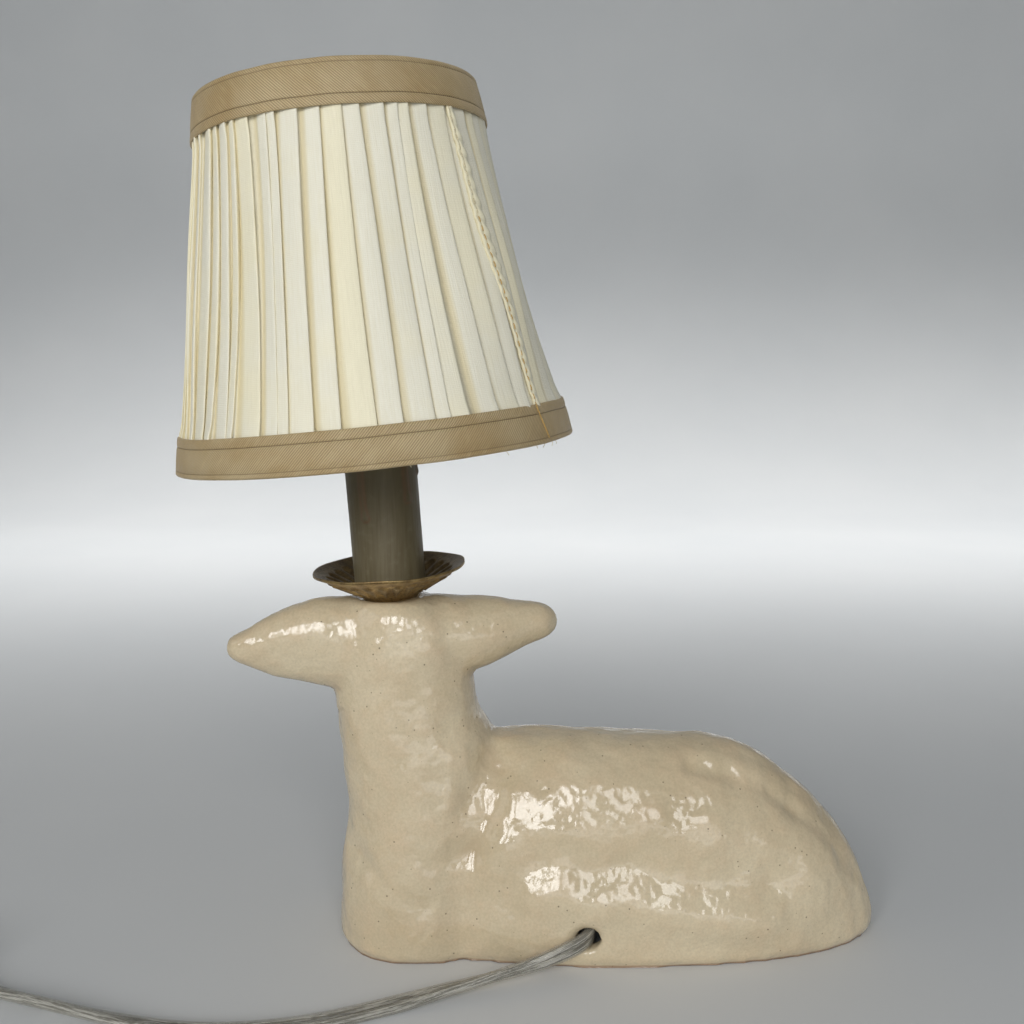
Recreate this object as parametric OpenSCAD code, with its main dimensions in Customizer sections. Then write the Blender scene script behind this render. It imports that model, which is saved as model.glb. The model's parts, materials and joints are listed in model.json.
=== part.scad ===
// Table lamp for the top of a television set.
// A glazed ceramic doe lies on the table and carries a candle stem on its head,
// with a small pleated shade clipped to the bulb and a flat two-core cord.
// X runs from the chest to the rump, +Y is the side that the doe faces, Z is up.
// The origin lies on the table, under the middle of the lamp.

/* [Ceramic figure] */
// Length of the figure from chest to rump
figure_length = 186; // [176:1:196]
// Depth of the figure across its base
figure_depth = 61; // [58:1:66]
// Height of the back above the table
back_height = 70; // [66:1:73]
// Height of the seat for the stem on top of the head
seat_height = 116; // [112:0.5:119]
// Thickness of the ceramic wall
wall = 6; // [5:0.5:7]
// Thickness of the ceramic on top of the head, where the stem is bolted
crown_thickness = 10; // [8:0.5:11]
// Diameter of the hole that the cord leaves by
cord_hole_d = 8; // [7.5:0.1:9]

/* [Candle stem] */
// How far the stem leans towards the chest, in degrees
stem_lean = 3.7; // [2:0.1:4.5]
// Diameter of the drip pan
pan_d = 50.2; // [46:0.2:54]
// Height of the drip pan from its foot to its rim
pan_height = 9.7; // [8:0.1:11]
// Outer diameter of the candle sleeve
sleeve_d = 24; // [23.6:0.1:25]
// Length of the candle sleeve
sleeve_length = 76; // [74:1:78]
// Outer diameter of the threaded nipple
nipple_d = 9.7; // [9.5:0.05:9.8]

/* [Socket and bulb] */
// How far the socket, bulb and shade lean towards the chest, in degrees
bulb_lean = 5.6; // [4.6:0.1:5.7]
// Outer diameter of the candelabra socket
socket_d = 18; // [17.8:0.1:18.2]
// Length of the socket
socket_length = 28; // [27:0.5:29]
// Diameter of the screw base of the bulb
bulb_base_d = 11.7; // [11.6:0.1:11.8]
// Widest diameter of the bulb
bulb_d = 32; // [29:0.5:33]
// Length of the glass above the mouth of the socket
bulb_length = 72; // [68:0.5:73]

/* [Shade] */
// Outer diameter of the shade at its lower edge
shade_bottom_d = 127; // [120:0.5:132]
// Outer diameter of the shade at its upper edge
shade_top_d = 87.6; // [82:0.2:92]
// Height of the shade along its own axis
shade_height = 109.7; // [106:0.1:113]
// Height of the bias band round the lower edge
bottom_band_height = 11; // [9:0.5:13]
// Height of the bias band round the upper edge
top_band_height = 12.5; // [10:0.5:14]
// Thickness of the frame wire
wire_d = 2; // [1.8:0.1:2.2]
// Number of upright frame wires
rib_count = 6; // [4:1:8]

/* [Cord] */
// Width of the flat two-core cord
cord_width = 6.6; // [6.4:0.1:6.7]
// Thickness of the flat two-core cord
cord_thickness = 3.3; // [3.2:0.05:3.4]
// Radius of the outermost turn of the stored coil
coil_outer_r = 41.5; // [40:0.5:43]
// Radius of the innermost turn of the stored coil
coil_inner_r = 30.5; // [29:0.5:32]

/* [Hidden] */
gap = 0.05;
fine = 64;
small = 32;

// Scale factors that carry the driving sizes into the slices of the figure
length_k = figure_length / 186;
depth_k = figure_depth / 61;
back_k = back_height / 70;
seat_k = seat_height / 116;

// Horizontal slices: height, chest end, rump end, half depth, centre in Y, squareness
torso_slices = [
    [-8, -62, 115.5, 29.5, 0, 2.2],
    [0, -63, 116.2, 30.3, 0, 2.2],
    [9, -62, 115.8, 30.6, 0, 2.2],
    [19, -60, 112.5, 30.6, 0, 2.2],
    [30, -58, 107, 29.8, 0.5, 2.2],
    [42, -56, 98.5, 27.4, 1, 2.2],
    [53, -52, 88, 22.8, 1, 2.2],
    [60.5, -48, 78, 17.8, 1, 2.2],
    [65.4, -44, 67, 12.4, 1, 2.2],
    [67.8, -38, 53, 7, 1, 2.1],
    [68.4, -30, 40, 3, 1, 2]
];
neck_slices = [
    [-8, -66, -12, 27, 0, 2.3],
    [0, -67.6, -11, 28.6, 0, 2.3],
    [10, -67.8, -12, 29, 0, 2.3],
    [24, -66.6, -13, 27.6, 0, 2.3],
    [36, -65.4, -14, 25.8, 0, 2.2],
    [46, -64.6, -14, 24.2, 0, 2.2],
    [58, -65.5, -13, 22.8, 0, 2.2],
    [68, -66.5, -14.5, 21.8, 0.5, 2.2],
    [76, -67.3, -19.5, 21, 1, 2.2],
    [84, -68.4, -21, 20.4, 1.5, 2.2],
    [94, -70, -22, 20.2, 2, 2.2],
    [104, -68, -24, 19.6, 2, 2.2],
    [112, -64, -29, 16.6, 1, 2.2],
    [116, -60, -35, 12.8, 0, 2.2],
    [117, -57, -40, 9.5, 0, 2.2]
];
// Upright slices across the head from ear to ear: X, height, half height, Y, half thickness
ear_slices = [
    [-100.8, 101.4, 1.6, -9, 1.6],
    [-99, 101, 3.8, -8.6, 3.8],
    [-94.5, 100.9, 6.9, -7.8, 6],
    [-85.5, 101.3, 11, -6, 8.4],
    [-75, 101.3, 13.8, -3.6, 10.6],
    [-63, 100.8, 15.8, -1.4, 13.4],
    [-46, 101.6, 15.2, 0, 16],
    [-30, 102.8, 14, 0.6, 13.4],
    [-17, 104.3, 11.6, 1.6, 10.2],
    [-9, 105.3, 9.2, 2.6, 8.2],
    [-3, 106.2, 6.9, 3.6, 6.4],
    [1.8, 106.5, 4.2, 4.4, 4.2],
    [4.2, 106.6, 1.5, 4.8, 1.6]
];
// Upright slices along the muzzle: Y, X, half width, height, half height
muzzle_slices = [
    [-4, -46, 17, 100, 13],
    [8, -47.5, 18.6, 99.5, 14.6],
    [20, -49.5, 16.8, 97.6, 14],
    [30, -51, 13, 94.4, 11.6],
    [40, -52.4, 10.2, 91, 9.4],
    [48, -53.4, 8.8, 88.6, 8],
    [53, -54, 6.2, 87.4, 5.8],
    [55, -54.2, 2.4, 87, 2.4]
];

// Points that the curve of a list of slices passes through, and the curve itself
function pick(list, i) = list[max(0, min(len(list) - 1, i))];
function curve_at(list, t) =
    let (i = min(floor(t), len(list) - 2))
    let (u = t - i)
    let (a = pick(list, i - 1), b = pick(list, i), c = pick(list, i + 1), d = pick(list, i + 2))
    0.5 * (2 * b + (c - a) * u + (2 * a - 5 * b + 4 * c - d) * u * u
        + (3 * b - a - 3 * c + d) * u * u * u);
function squared(v, n) = sign(v) * pow(abs(v), 2 / n);
function oval(rx, ry, n, k) =
    [for (i = [0:k - 1]) [rx * squared(cos(360 * i / k), n), ry * squared(sin(360 * i / k), n)]];

slab = 0.02;
module level_slice(s, inset, kx, ky, kz) {
    translate([kx * (s[1] + s[2]) / 2, ky * s[4], kz * s[0]])
        linear_extrude(slab)
            polygon(oval(kx * (s[2] - s[1]) / 2 - inset, ky * s[3] - inset, s[5], 36));
}

module level_loft(slices, first, last, per, inset, kx, ky, kz) {
    for (i = [first * per:last * per - 1])
        hull() {
            level_slice(curve_at(slices, i / per), inset, kx, ky, kz);
            level_slice(curve_at(slices, (i + 1) / per), inset, kx, ky, kz);
        }
}

module ear_slice(s) {
    translate([length_k * s[0], s[3], seat_k * s[1]])
        rotate([90, 0, 90])
            linear_extrude(slab)
                polygon(oval(s[4], s[2], 2.1, 28));
}

module ears() {
    per = 2;
    for (i = [0:(len(ear_slices) - 1) * per - 1])
        hull() {
            ear_slice(curve_at(ear_slices, i / per));
            ear_slice(curve_at(ear_slices, (i + 1) / per));
        }
}

module muzzle_slice(s) {
    translate([length_k * s[1], s[0], seat_k * s[3]])
        rotate([90, 0, 0])
            linear_extrude(slab)
                polygon(oval(s[2], s[4], 2.2, 28));
}

module muzzle() {
    per = 2;
    for (i = [0:(len(muzzle_slices) - 1) * per - 1])
        hull() {
            muzzle_slice(curve_at(muzzle_slices, i / per));
            muzzle_slice(curve_at(muzzle_slices, (i + 1) / per));
        }
}

// Frames of the leaning parts: the stem stands on the head, the socket on the stem
stem_x = -48.6 * length_k;
socket_pivot_z = 62;
socket_shift = -0.8;
mouth_above_pivot = 10;
module on_stem() {
    translate([stem_x, 0, seat_height])
        rotate([0, -stem_lean, 0])
            children();
}

module on_bulb() {
    pivot_x = stem_x - socket_pivot_z * sin(stem_lean) + socket_shift;
    pivot_z = seat_height + socket_pivot_z * cos(stem_lean);
    translate([pivot_x, 0, pivot_z])
        rotate([0, -bulb_lean, 0])
            translate([0, 0, mouth_above_pivot])
                children();
}

module disc(r, low, high, bore) {
    translate([0, 0, low])
        difference() {
            cylinder(r = r, h = high - low, $fn = fine);
            translate([0, 0, -1])
                cylinder(r = bore, h = high - low + 2, $fn = fine);
        }
}

module hex(across, low, high, bore) {
    translate([0, 0, low])
        difference() {
            cylinder(r = across / 2 / cos(30), h = high - low, $fn = 6);
            translate([0, 0, -1])
                cylinder(r = bore, h = high - low + 2, $fn = fine);
        }
}

module rod(a, b, r) {
    v = b - a;
    flat = norm([v[0], v[1]]);
    translate(a)
        rotate([0, atan2(flat, v[2]), atan2(v[1], v[0])])
            cylinder(r = r, h = norm(v), $fn = small);
}

// Ceramic figure
hole_x = 16.3;
hole_y = -28;
hole_z = 10.4;
hole_turn = 20;
stem_hole_r = 5.4;
seat_r = 10.5;
crown_hollow_r = 13;
crown_hollow_depth = 24;
neck_hollow_top = 10;
through = 400;
module figure_outside() {
    level_loft(torso_slices, 0, len(torso_slices) - 1, 2, 0, length_k, depth_k, back_k);
    level_loft(neck_slices, 0, len(neck_slices) - 1, 2, 0, length_k, depth_k, seat_k);
    ears();
    muzzle();
}

module figure_inside() {
    translate([0, 0, -wall])
        level_loft(torso_slices, 0, len(torso_slices) - 2, 1, wall, length_k, depth_k, back_k);
    level_loft(neck_slices, 0, neck_hollow_top, 1, wall, length_k, depth_k, seat_k);
    on_stem()
        translate([0, 0, -crown_thickness - crown_hollow_depth])
            cylinder(r = crown_hollow_r, h = crown_hollow_depth, $fn = small);
}

module ceramic_body() {
    color("antiquewhite")
        difference() {
            figure_outside();
            figure_inside();
            translate([-through / 2, -through / 2, -through])
                cube(through);
            on_stem() {
                translate([0, 0, -3 * crown_thickness])
                    cylinder(r = stem_hole_r, h = 4 * crown_thickness, $fn = small);
                cylinder(r = seat_r, h = 2 * crown_thickness, $fn = small);
            }
            translate([hole_x, hole_y, hole_z])
                rotate([90, 0, -hole_turn])
                    cylinder(d = cord_hole_d, h = 4 * wall, center = true, $fn = small);
        }
}

// Drip pan and candle sleeve
pan_sheet = 1;
pan_foot_r = 8.6;
pan_lip = 0.3;
pan_r = pan_d / 2;
sleeve_bottom = 3.4;
sleeve_wall = 1.5;
sleeve_r = sleeve_d / 2;
hole_play = 0.1;
function pan_z(r) = pan_height * pow(max(0, (r - pan_foot_r) / (pan_r - pan_foot_r)), 0.8);
module drip_pan() {
    steps = 8;
    radii = [for (i = [0:steps]) pan_foot_r + (pan_r - pan_foot_r) * i / steps];
    under = [for (r = radii) [r, pan_z(r)]];
    over = [for (i = [steps:-1:0]) [radii[i] - pan_lip, pan_z(radii[i]) + pan_sheet]];
    bore = nipple_d / 2 + hole_play;
    color("darkgoldenrod")
        on_stem()
            rotate_extrude($fn = fine)
                polygon(concat([[bore, 0]], under, over, [[bore, pan_sheet]]));
}

module candle_sleeve() {
    bore = sleeve_r - sleeve_wall;
    chamfer = 1.6;
    chamfer_in = 1;
    top = sleeve_bottom + sleeve_length;
    color("ivory")
        on_stem()
            rotate_extrude($fn = fine)
                polygon([
                    [bore, sleeve_bottom],
                    [sleeve_r - chamfer_in, sleeve_bottom],
                    [sleeve_r, sleeve_bottom + chamfer],
                    [sleeve_r, top],
                    [bore, top]
                ]);
}

// Bolted joint through the crown of the head
nut_across = 13;
nut_height = 3;
washer_r = 10;
rubber_t = 1.5;
steel_t = 1.2;
nipple_r = nipple_d / 2;
nipple_bore_r = 3.5;
nipple_below = 10;
nipple_bottom = -crown_thickness - nipple_below;
nipple_top = 8;
upper_nut_z = pan_sheet + gap;
rubber_z = -crown_thickness - gap;
steel_z = rubber_z - rubber_t - gap;
lower_nut_z = steel_z - steel_t - gap;
module threaded_nipple() {
    color("goldenrod")
        on_stem()
            disc(nipple_r, nipple_bottom, nipple_top, nipple_bore_r);
}

module upper_nut() {
    color("gold")
        on_stem()
            hex(nut_across, upper_nut_z, upper_nut_z + nut_height, nipple_r + gap);
}

module lower_nut() {
    color("silver")
        on_stem()
            hex(nut_across + 1, lower_nut_z - nut_height, lower_nut_z, nipple_r + gap);
}

module steel_washer() {
    color("lightgray")
        on_stem()
            disc(washer_r, steel_z - steel_t, steel_z, nipple_r + 2 * hole_play);
}

module rubber_washer() {
    color("dimgray")
        on_stem()
            disc(washer_r, rubber_z - rubber_t, rubber_z, nipple_r + 2 * hole_play);
}

// Bracket that carries the socket: a ring on the nipple, a leg and a tab
bracket_sheet = 1.2;
bracket_width = 7;
bracket_ring_r = 7.5;
bracket_ring_t = 2;
bracket_arm_x = nipple_d / 2 + 1.4;
leg_x = 8;
tab_back = 4;
bracket_base_z = upper_nut_z + nut_height + gap;
tab_top = socket_pivot_z + mouth_above_pivot - socket_length - 0.5;
rivet_r = 1.5;
rivet_play = 0.3;
module socket_bracket() {
    color("silver")
        on_stem() {
            difference() {
                union() {
                    translate([0, 0, bracket_base_z])
                        cylinder(r = bracket_ring_r, h = bracket_ring_t, $fn = fine);
                    translate([bracket_arm_x, -bracket_width / 2, bracket_base_z])
                        cube([leg_x - bracket_arm_x + bracket_sheet, bracket_width, bracket_ring_t]);
                }
                translate([0, 0, bracket_base_z - 1])
                    cylinder(r = nipple_r + gap, h = bracket_ring_t + 2, $fn = fine);
            }
            translate([leg_x, -bracket_width / 2, bracket_base_z])
                cube([bracket_sheet, bracket_width, tab_top - bracket_base_z]);
            translate([-tab_back, -bracket_width / 2, tab_top - bracket_sheet])
                difference() {
                    cube([leg_x + tab_back + bracket_sheet, bracket_width, bracket_sheet]);
                    translate([tab_back, bracket_width / 2, -1])
                        cylinder(r = rivet_r + rivet_play, h = bracket_sheet + 2, $fn = small);
                }
        }
}

// Socket, in the frame of the bulb: Z = 0 is the mouth
socket_r = socket_d / 2;
base_r = bulb_base_d / 2;
thread_play = 0.1;
screw_shell_t = 0.5;
screw_shell_r = base_r + thread_play + screw_shell_t;
screw_shell_low = -18;
screw_shell_high = -1;
socket_floor = 4;
floor_z = -socket_length + socket_floor;
rivet_head_r = 2.6;
rivet_head_t = 1.4;
module socket_shell() {
    color("saddlebrown")
        on_bulb()
            difference() {
                translate([0, 0, -socket_length])
                    cylinder(r = socket_r, h = socket_length, $fn = fine);
                translate([0, 0, floor_z])
                    cylinder(r = screw_shell_r + gap, h = socket_length, $fn = fine);
                translate([0, 0, -socket_length - 1])
                    cylinder(r = rivet_r + gap, h = socket_floor + 2, $fn = small);
            }
}

module socket_screw_shell() {
    color("gold")
        on_bulb()
            disc(screw_shell_r, screw_shell_low, screw_shell_high, base_r + thread_play);
}

contact_r = 2.4;
contact_t = 2.6;
module socket_contact() {
    color("gold")
        on_bulb()
            translate([0, 0, floor_z + rivet_head_t + 0.2])
                cylinder(r = contact_r, h = contact_t, $fn = small);
}

module socket_rivet() {
    color("silver")
        on_bulb() {
            translate([0, 0, -socket_length - 2])
                cylinder(r = rivet_r, h = socket_floor + 2.2, $fn = small);
            for (z = [floor_z + 0.1, -socket_length - 2 - rivet_head_t])
                translate([0, 0, z])
                    cylinder(r = rivet_head_r, h = rivet_head_t, $fn = small);
        }
}

terminal = [3, 1, 5];
terminal_y = 6.2;
module socket_terminals() {
    color("gold")
        on_bulb()
            for (side = [-1, 1])
                translate([-terminal[0], side * terminal_y - terminal[1] / 2, -socket_length - terminal[2]])
                    cube([terminal[0], terminal[1], terminal[2] - gap]);
}

// The two insulated leads run from the end of the cord to the terminals
lead_r = 1.1;
lead_foot_z = nipple_top + 12;
module socket_wires() {
    color("silver")
        on_stem()
            for (side = [-1, 1]) {
                foot = [-1.5, side * 1.4, lead_foot_z];
                head = [-2.6, side * (terminal_y + 1.9), tab_top - 2];
                rod(foot, head, lead_r);
            }
}

// Bulb: radius of the glass at heights above the mouth of the socket
glass_profile = [[1, 0.36], [4, 0.37], [9, 0.5], [16, 0.82], [25, 1], [34, 0.96], [44, 0.74],
    [54, 0.45], [63, 0.22], [69, 0.12], [71.4, 0.06]];
glass_t = 0.7;
glass_k = bulb_length / 72;
glass_steps = 30;
function glass_point(i) = curve_at(glass_profile, i / glass_steps * (len(glass_profile) - 1));
function glass_r(i) = glass_point(i)[1] * bulb_d / 2;
function glass_z(i) = glass_point(i)[0] * glass_k;
module bulb_envelope() {
    outside = [for (i = [0:glass_steps]) [glass_r(i), glass_z(i)]];
    inside = [for (i = [glass_steps - 3:-1:0]) [max(glass_r(i) - glass_t, 0.2), glass_z(i)]];
    tip = [[0, bulb_length], [0, glass_z(glass_steps - 3)]];
    color("azure", 0.4)
        on_bulb()
            rotate_extrude($fn = fine)
                polygon(concat(outside, tip, inside));
}

base_bottom = -15;
base_sheet = 0.4;
insulator_height = 2.4;
insulator_bore = 2.1;
module bulb_base() {
    color("silver")
        on_bulb()
            disc(base_r, base_bottom, glass_profile[0][0] - 0.1, base_r - base_sheet);
}

module bulb_insulator() {
    color("black")
        on_bulb()
            rotate_extrude($fn = fine)
                polygon([
                    [insulator_bore, base_bottom - insulator_height],
                    [insulator_bore + 1.5, base_bottom - insulator_height],
                    [base_r - 0.5, base_bottom - gap],
                    [insulator_bore, base_bottom - gap]
                ]);
}

module bulb_contact() {
    color("silver")
        on_bulb()
            translate([0, 0, base_bottom - insulator_height - 0.8])
                cylinder(r = insulator_bore - 0.1, h = insulator_height + 0.2, $fn = small);
}

mount_foot = 10;
mount_top = 20;
module bulb_mount() {
    color("azure", 0.5)
        on_bulb() {
            translate([0, 0, base_bottom + 1])
                cylinder(r = 3.6, h = mount_foot, $fn = small);
            translate([0, 0, base_bottom + mount_foot])
                cylinder(r = 1.6, h = mount_top - base_bottom - mount_foot, $fn = small);
        }
}

filament_top = 38;
filament_r = 0.35;
elbow_y = 7;
elbow_z = filament_top - 6;
hook_y = 3.4;
module bulb_filament() {
    color("dimgray")
        on_bulb() {
            for (side = [-1, 1]) {
                rod([0, side * 2, mount_top - 8], [0, side * elbow_y, elbow_z], filament_r - 0.05);
                rod([0, side * elbow_y, elbow_z - 0.2], [0, side * hook_y, filament_top], filament_r);
            }
            rod([0, -hook_y - 0.1, filament_top], [0, hook_y + 0.1, filament_top], filament_r);
        }
}

// Clip: two wire loops that grip the glass, hung from a tube on the crossbar
pivot_z = 77.5;
clip_wire_r = 0.8;
loop_r = 10;
loop_z = 26;
loop_y = bulb_d / 2 + 0.35 + clip_wire_r;
tube_half = 7;
tube_bore_r = wire_d / 2 + 0.06;
tube_r = 2.4;
arm_z = pivot_z - 22;
module bulb_clip() {
    color("goldenrod")
        on_bulb() {
            for (side = [-1, 1]) {
                translate([0, side * loop_y, loop_z])
                    rotate([90, 0, 0])
                        rotate_extrude($fn = fine)
                            translate([loop_r, 0])
                                circle(r = clip_wire_r, $fn = small);
                rod([0, side * loop_y, loop_z + loop_r - 0.3], [0, side * loop_y, arm_z + 0.2],
                    clip_wire_r - 0.1);
                rod([0, side * (loop_y + 0.2), arm_z], [0, side * (tube_half - 1), pivot_z - 1.6],
                    clip_wire_r - 0.05);
            }
            translate([0, tube_half, pivot_z])
                rotate([90, 0, 0])
                    difference() {
                        cylinder(r = tube_r, h = 2 * tube_half, $fn = fine);
                        translate([0, 0, -1])
                            cylinder(r = tube_bore_r, h = 2 * tube_half + 2, $fn = fine);
                    }
        }
}

// Shade, in a frame with its origin at the middle of the crossbar
rim_above_pivot = 9.8;
top_z = rim_above_pivot;
bottom_z = top_z - shade_height;
wire_r = wire_d / 2;
band_t = 0.7;
pleat_out = band_t + 0.1;
pleat_in = pleat_out + 1.4;
wire_at = pleat_in + 0.15 + wire_r;
lining_out = wire_at + wire_r + 0.15;
lining_t = 0.5;
band_in = lining_out + lining_t + 0.1;
function cone_r(z, inset) =
    shade_top_d / 2 + (top_z - z) * (shade_bottom_d - shade_top_d) / 2 / shade_height - inset;
module on_shade() {
    on_bulb()
        translate([0, 0, pivot_z])
            children();
}

module cone_wall(low, high, outer, inner) {
    rotate_extrude($fn = fine)
        polygon([[cone_r(low, inner), low], [cone_r(low, outer), low],
            [cone_r(high, outer), high], [cone_r(high, inner), high]]);
}

module wire_ring(z) {
    rotate_extrude($fn = fine)
        translate([cone_r(z, wire_at), z])
            circle(r = wire_r, $fn = small);
}

ring_rise = wire_r + 0.2;
upturn_y = cone_r(top_z - ring_rise, wire_at) - 2 * wire_r - gap;
module shade_crossbar() {
    color("goldenrod")
        on_shade() {
            rod([0, -upturn_y, 0], [0, upturn_y, 0], wire_r);
            for (side = [-1, 1]) {
                translate([0, side * upturn_y, 0])
                    sphere(r = wire_r, $fn = small);
                rod([0, side * upturn_y, 0], [0, side * upturn_y, top_z - ring_rise], wire_r);
            }
        }
}

module shade_top_ring() {
    color("goldenrod")
        on_shade()
            wire_ring(top_z - ring_rise);
}

module shade_bottom_ring() {
    color("goldenrod")
        on_shade()
            wire_ring(bottom_z + ring_rise);
}

module shade_ribs() {
    low = bottom_z + ring_rise + wire_r + gap;
    high = top_z - ring_rise - wire_r - gap;
    color("goldenrod")
        on_shade()
            for (i = [0:rib_count - 1])
                rotate([0, 0, (i + 0.5) * 360 / rib_count])
                    rod([cone_r(low, wire_at), 0, low], [cone_r(high, wire_at), 0, high],
                        wire_r);
}

module shade_lining() {
    color("linen")
        on_shade()
            difference() {
                cone_wall(bottom_z + 0.2, top_z - 0.2, lining_out, lining_out + lining_t);
                crossbar_gaps();
            }
}

module shade_pleats() {
    color("cornsilk")
        on_shade()
            cone_wall(bottom_z + 0.1, top_z - 0.1, pleat_out, pleat_in);
}

// Gaps in the lining and in the inner leg of the upper band, where the crossbar comes through
notch_play = 0.2;
module crossbar_gaps() {
    low = -wire_r - notch_play;
    for (side = [-1, 1]) {
        translate([0, side * upturn_y, low])
            cylinder(r = wire_r + notch_play, h = top_z - low - gap, $fn = small);
        translate([0, side * (upturn_y - 2 * wire_r), 0])
            rotate([-side * 90, 0, 0])
                cylinder(r = wire_r + notch_play, h = 3.2 * wire_r, $fn = small);
    }
}

// A band folds over the edge of the shade: outer leg, edge, inner leg
inner_leg = 8;
module edge_band(edge, way, height) {
    outer_end = edge + way * height;
    inner_end = edge + way * inner_leg;
    lip = edge - way * band_t;
    rotate_extrude($fn = fine)
        polygon([
            [cone_r(lip, 0), lip],
            [cone_r(outer_end, 0), outer_end],
            [cone_r(outer_end, band_t), outer_end],
            [cone_r(edge, band_t), edge],
            [cone_r(edge, band_in), edge],
            [cone_r(inner_end, band_in), inner_end],
            [cone_r(inner_end, band_in + band_t), inner_end],
            [cone_r(lip, band_in + band_t), lip]
        ]);
}

module shade_top_band() {
    color("tan")
        on_shade()
            difference() {
                edge_band(top_z, -1, top_band_height);
                crossbar_gaps();
            }
}

module shade_bottom_band() {
    color("tan")
        on_shade()
            edge_band(bottom_z, 1, bottom_band_height);
}

// Seam that closes the pleated cloth: a narrow strip that leans a little from band to band
seam_low_angle = -31;
seam_high_angle = -38;
seam_width = 4;
seam_t = 0.9;
seam_lift = 0.4;
module seam_end(z, angle) {
    rotate([0, 0, angle])
        translate([cone_r(z, pleat_out - seam_lift), -seam_width / 2, z])
            cube([seam_t, seam_width, slab]);
}

module shade_seam() {
    color("cornsilk")
        on_shade()
            hull() {
                seam_end(bottom_z + bottom_band_height + 0.3, seam_low_angle);
                seam_end(top_z - top_band_height - 0.3, seam_high_angle);
            }
}

// Routes of the cord: X, Y, Z and the angle of its width above the table
lead_route = [
    [17.6, -23, 10.8, 80], [16.2, -28, 10.5, 80], [12.5, -32, 9.7, 78], [5, -35, 7.7, 70],
    [-4, -37.6, 5.8, 55], [-16, -41.2, 4.2, 35], [-30, -45.6, 2.8, 15], [-43, -50.6, 1.9, 0],
    [-56, -55.6, 1.7, 0], [-70, -60.2, 1.7, 0], [-86, -63, 1.7, 0], [-101, -63.2, 1.9, 8],
    [-116, -61.2, 2.3, 20], [-131, -57.6, 2.7, 32], [-147, -52.8, 3, 42], [-163, -47.6, 3, 35],
    [-172, -44.8, 3.2, 15], [-179.5, -42.6, 4.4, 0], [-187, -41.4, 6, 0], [-195, -40.6, 6.5, 30],
    [-203, -37, 6.5, 75], [-214, -33.6, 6.5, 90], [-225, -37, 6.5, 75], [-233, -40.6, 6.5, 30],
    [-242, -41, 5.8, 30], [-252, -40.6, 4.4, 60], [-262, -40.2, 3.4, 80], [-276, -40, 3.4, 90],
    [-298, -40, 3.4, 90]
];
tail_route = [
    [-333.9, 22.2, 10.1, 90], [-330.3, 30.6, 9, 90], [-324.3, 40.5, 6, 70], [-315.3, 49, 3.2, 30],
    [-304, 52.4, 2.4, 0], [-292.5, 51.4, 3.2, 0], [-281.5, 48, 6, 0], [-272, 47, 7.5, 0]
];
inner_route = [
    [17.6, -22.9, 10.8, 80], [15.6, -14, 12.4, 80], [8.6, -4.5, 16, 60], [-6, 0, 24, 40],
    [-22, 0, 38, 20], [-34, 0, 56, 0], [-42, 0, 76, 0], [-46.9, 0, 90, 0],
    [-47.6, 0, 100, 0], [-48.3, 0, 112, 0], [-49.1, 0, 124, 0], [-49.9, 0, 136, 0]
];

// A flat cord: an oval section carried along a smooth curve through the route
cord_sides = 10;
function unit(v) = v / norm(v);
function place(p) = [p[0], p[1], p[2]];
function heading(route, t) =
    let (ahead = place(curve_at(route, min(t + 0.02, len(route) - 1))))
    let (behind = place(curve_at(route, max(t - 0.02, 0))))
    unit(ahead - behind);
function cord_ring(route, t, side0) =
    let (p = curve_at(route, t), w = heading(route, t))
    let (across = unit(cross(side0 == 0 ? [0, 0, 1] : [0, 1, 0], w)), up = cross(w, across))
    [for (q = oval(cord_width / 2, cord_thickness / 2, 2.3, cord_sides))
        place(p) + across * (q[0] * cos(p[3]) - q[1] * sin(p[3]))
            + up * (q[0] * sin(p[3]) + q[1] * cos(p[3]))];
module cord_along(route, per, side0) {
    rings = (len(route) - 1) * per;
    points = [for (i = [0:rings]) each cord_ring(route, i / per, side0)];
    sides = [for (i = [0:rings - 1], j = [0:cord_sides - 1])
        let (a = i * cord_sides + j, b = i * cord_sides + (j + 1) % cord_sides)
        each [[a, b, b + cord_sides], [a, b + cord_sides, a + cord_sides]]];
    start = [[for (j = [cord_sides - 1:-1:0]) j]];
    end = [[for (j = [0:cord_sides - 1]) rings * cord_sides + j]];
    color("gainsboro", 0.7)
        polyhedron(points, concat(sides, start, end), convexity = 8);
}

module cord_inner() {
    cord_along(inner_route, 2, 1);
}

module cord_lead() {
    cord_along(lead_route, 2, 0);
}

module cord_tail() {
    cord_along(tail_route, 2, 0);
}

// Coil of the stored length, two layers of turns on edge, with a tie round it
coil_x = -298;
coil_y = 1.5;
coil_height = 2 * cord_width + 0.1;
coil_half_t = cord_thickness / 2 + 0.1;
tie_angle = 20;
tie_width = 5;
tie_t = 0.8;
tie_long = coil_outer_r - coil_inner_r + 2 * coil_half_t + 2 * tie_t + 0.2;
tie_high = coil_height + tie_t + 0.2;
module tie_space(grow) {
    translate([coil_x, coil_y, 0])
        rotate([0, 0, tie_angle])
            translate([coil_inner_r - coil_half_t - tie_t - 0.1, -tie_width / 2 - grow, -grow])
                children();
}

module cord_coil() {
    color("gainsboro", 0.7)
        difference() {
            translate([coil_x, coil_y, 0.02])
                rotate_extrude($fn = fine)
                    translate([coil_inner_r - coil_half_t, 0])
                        square([coil_outer_r - coil_inner_r + 2 * coil_half_t, coil_height]);
            tie_space(0.2)
                cube([tie_long + 1, tie_width + 0.4, tie_t + 0.4]);
        }
}

module coil_tie() {
    color("white")
        tie_space(0)
            difference() {
                cube([tie_long, tie_width, tie_high]);
                translate([tie_t, -1, tie_t])
                    cube([tie_long - 2 * tie_t, tie_width + 2, tie_high - 2 * tie_t]);
            }
}

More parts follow.
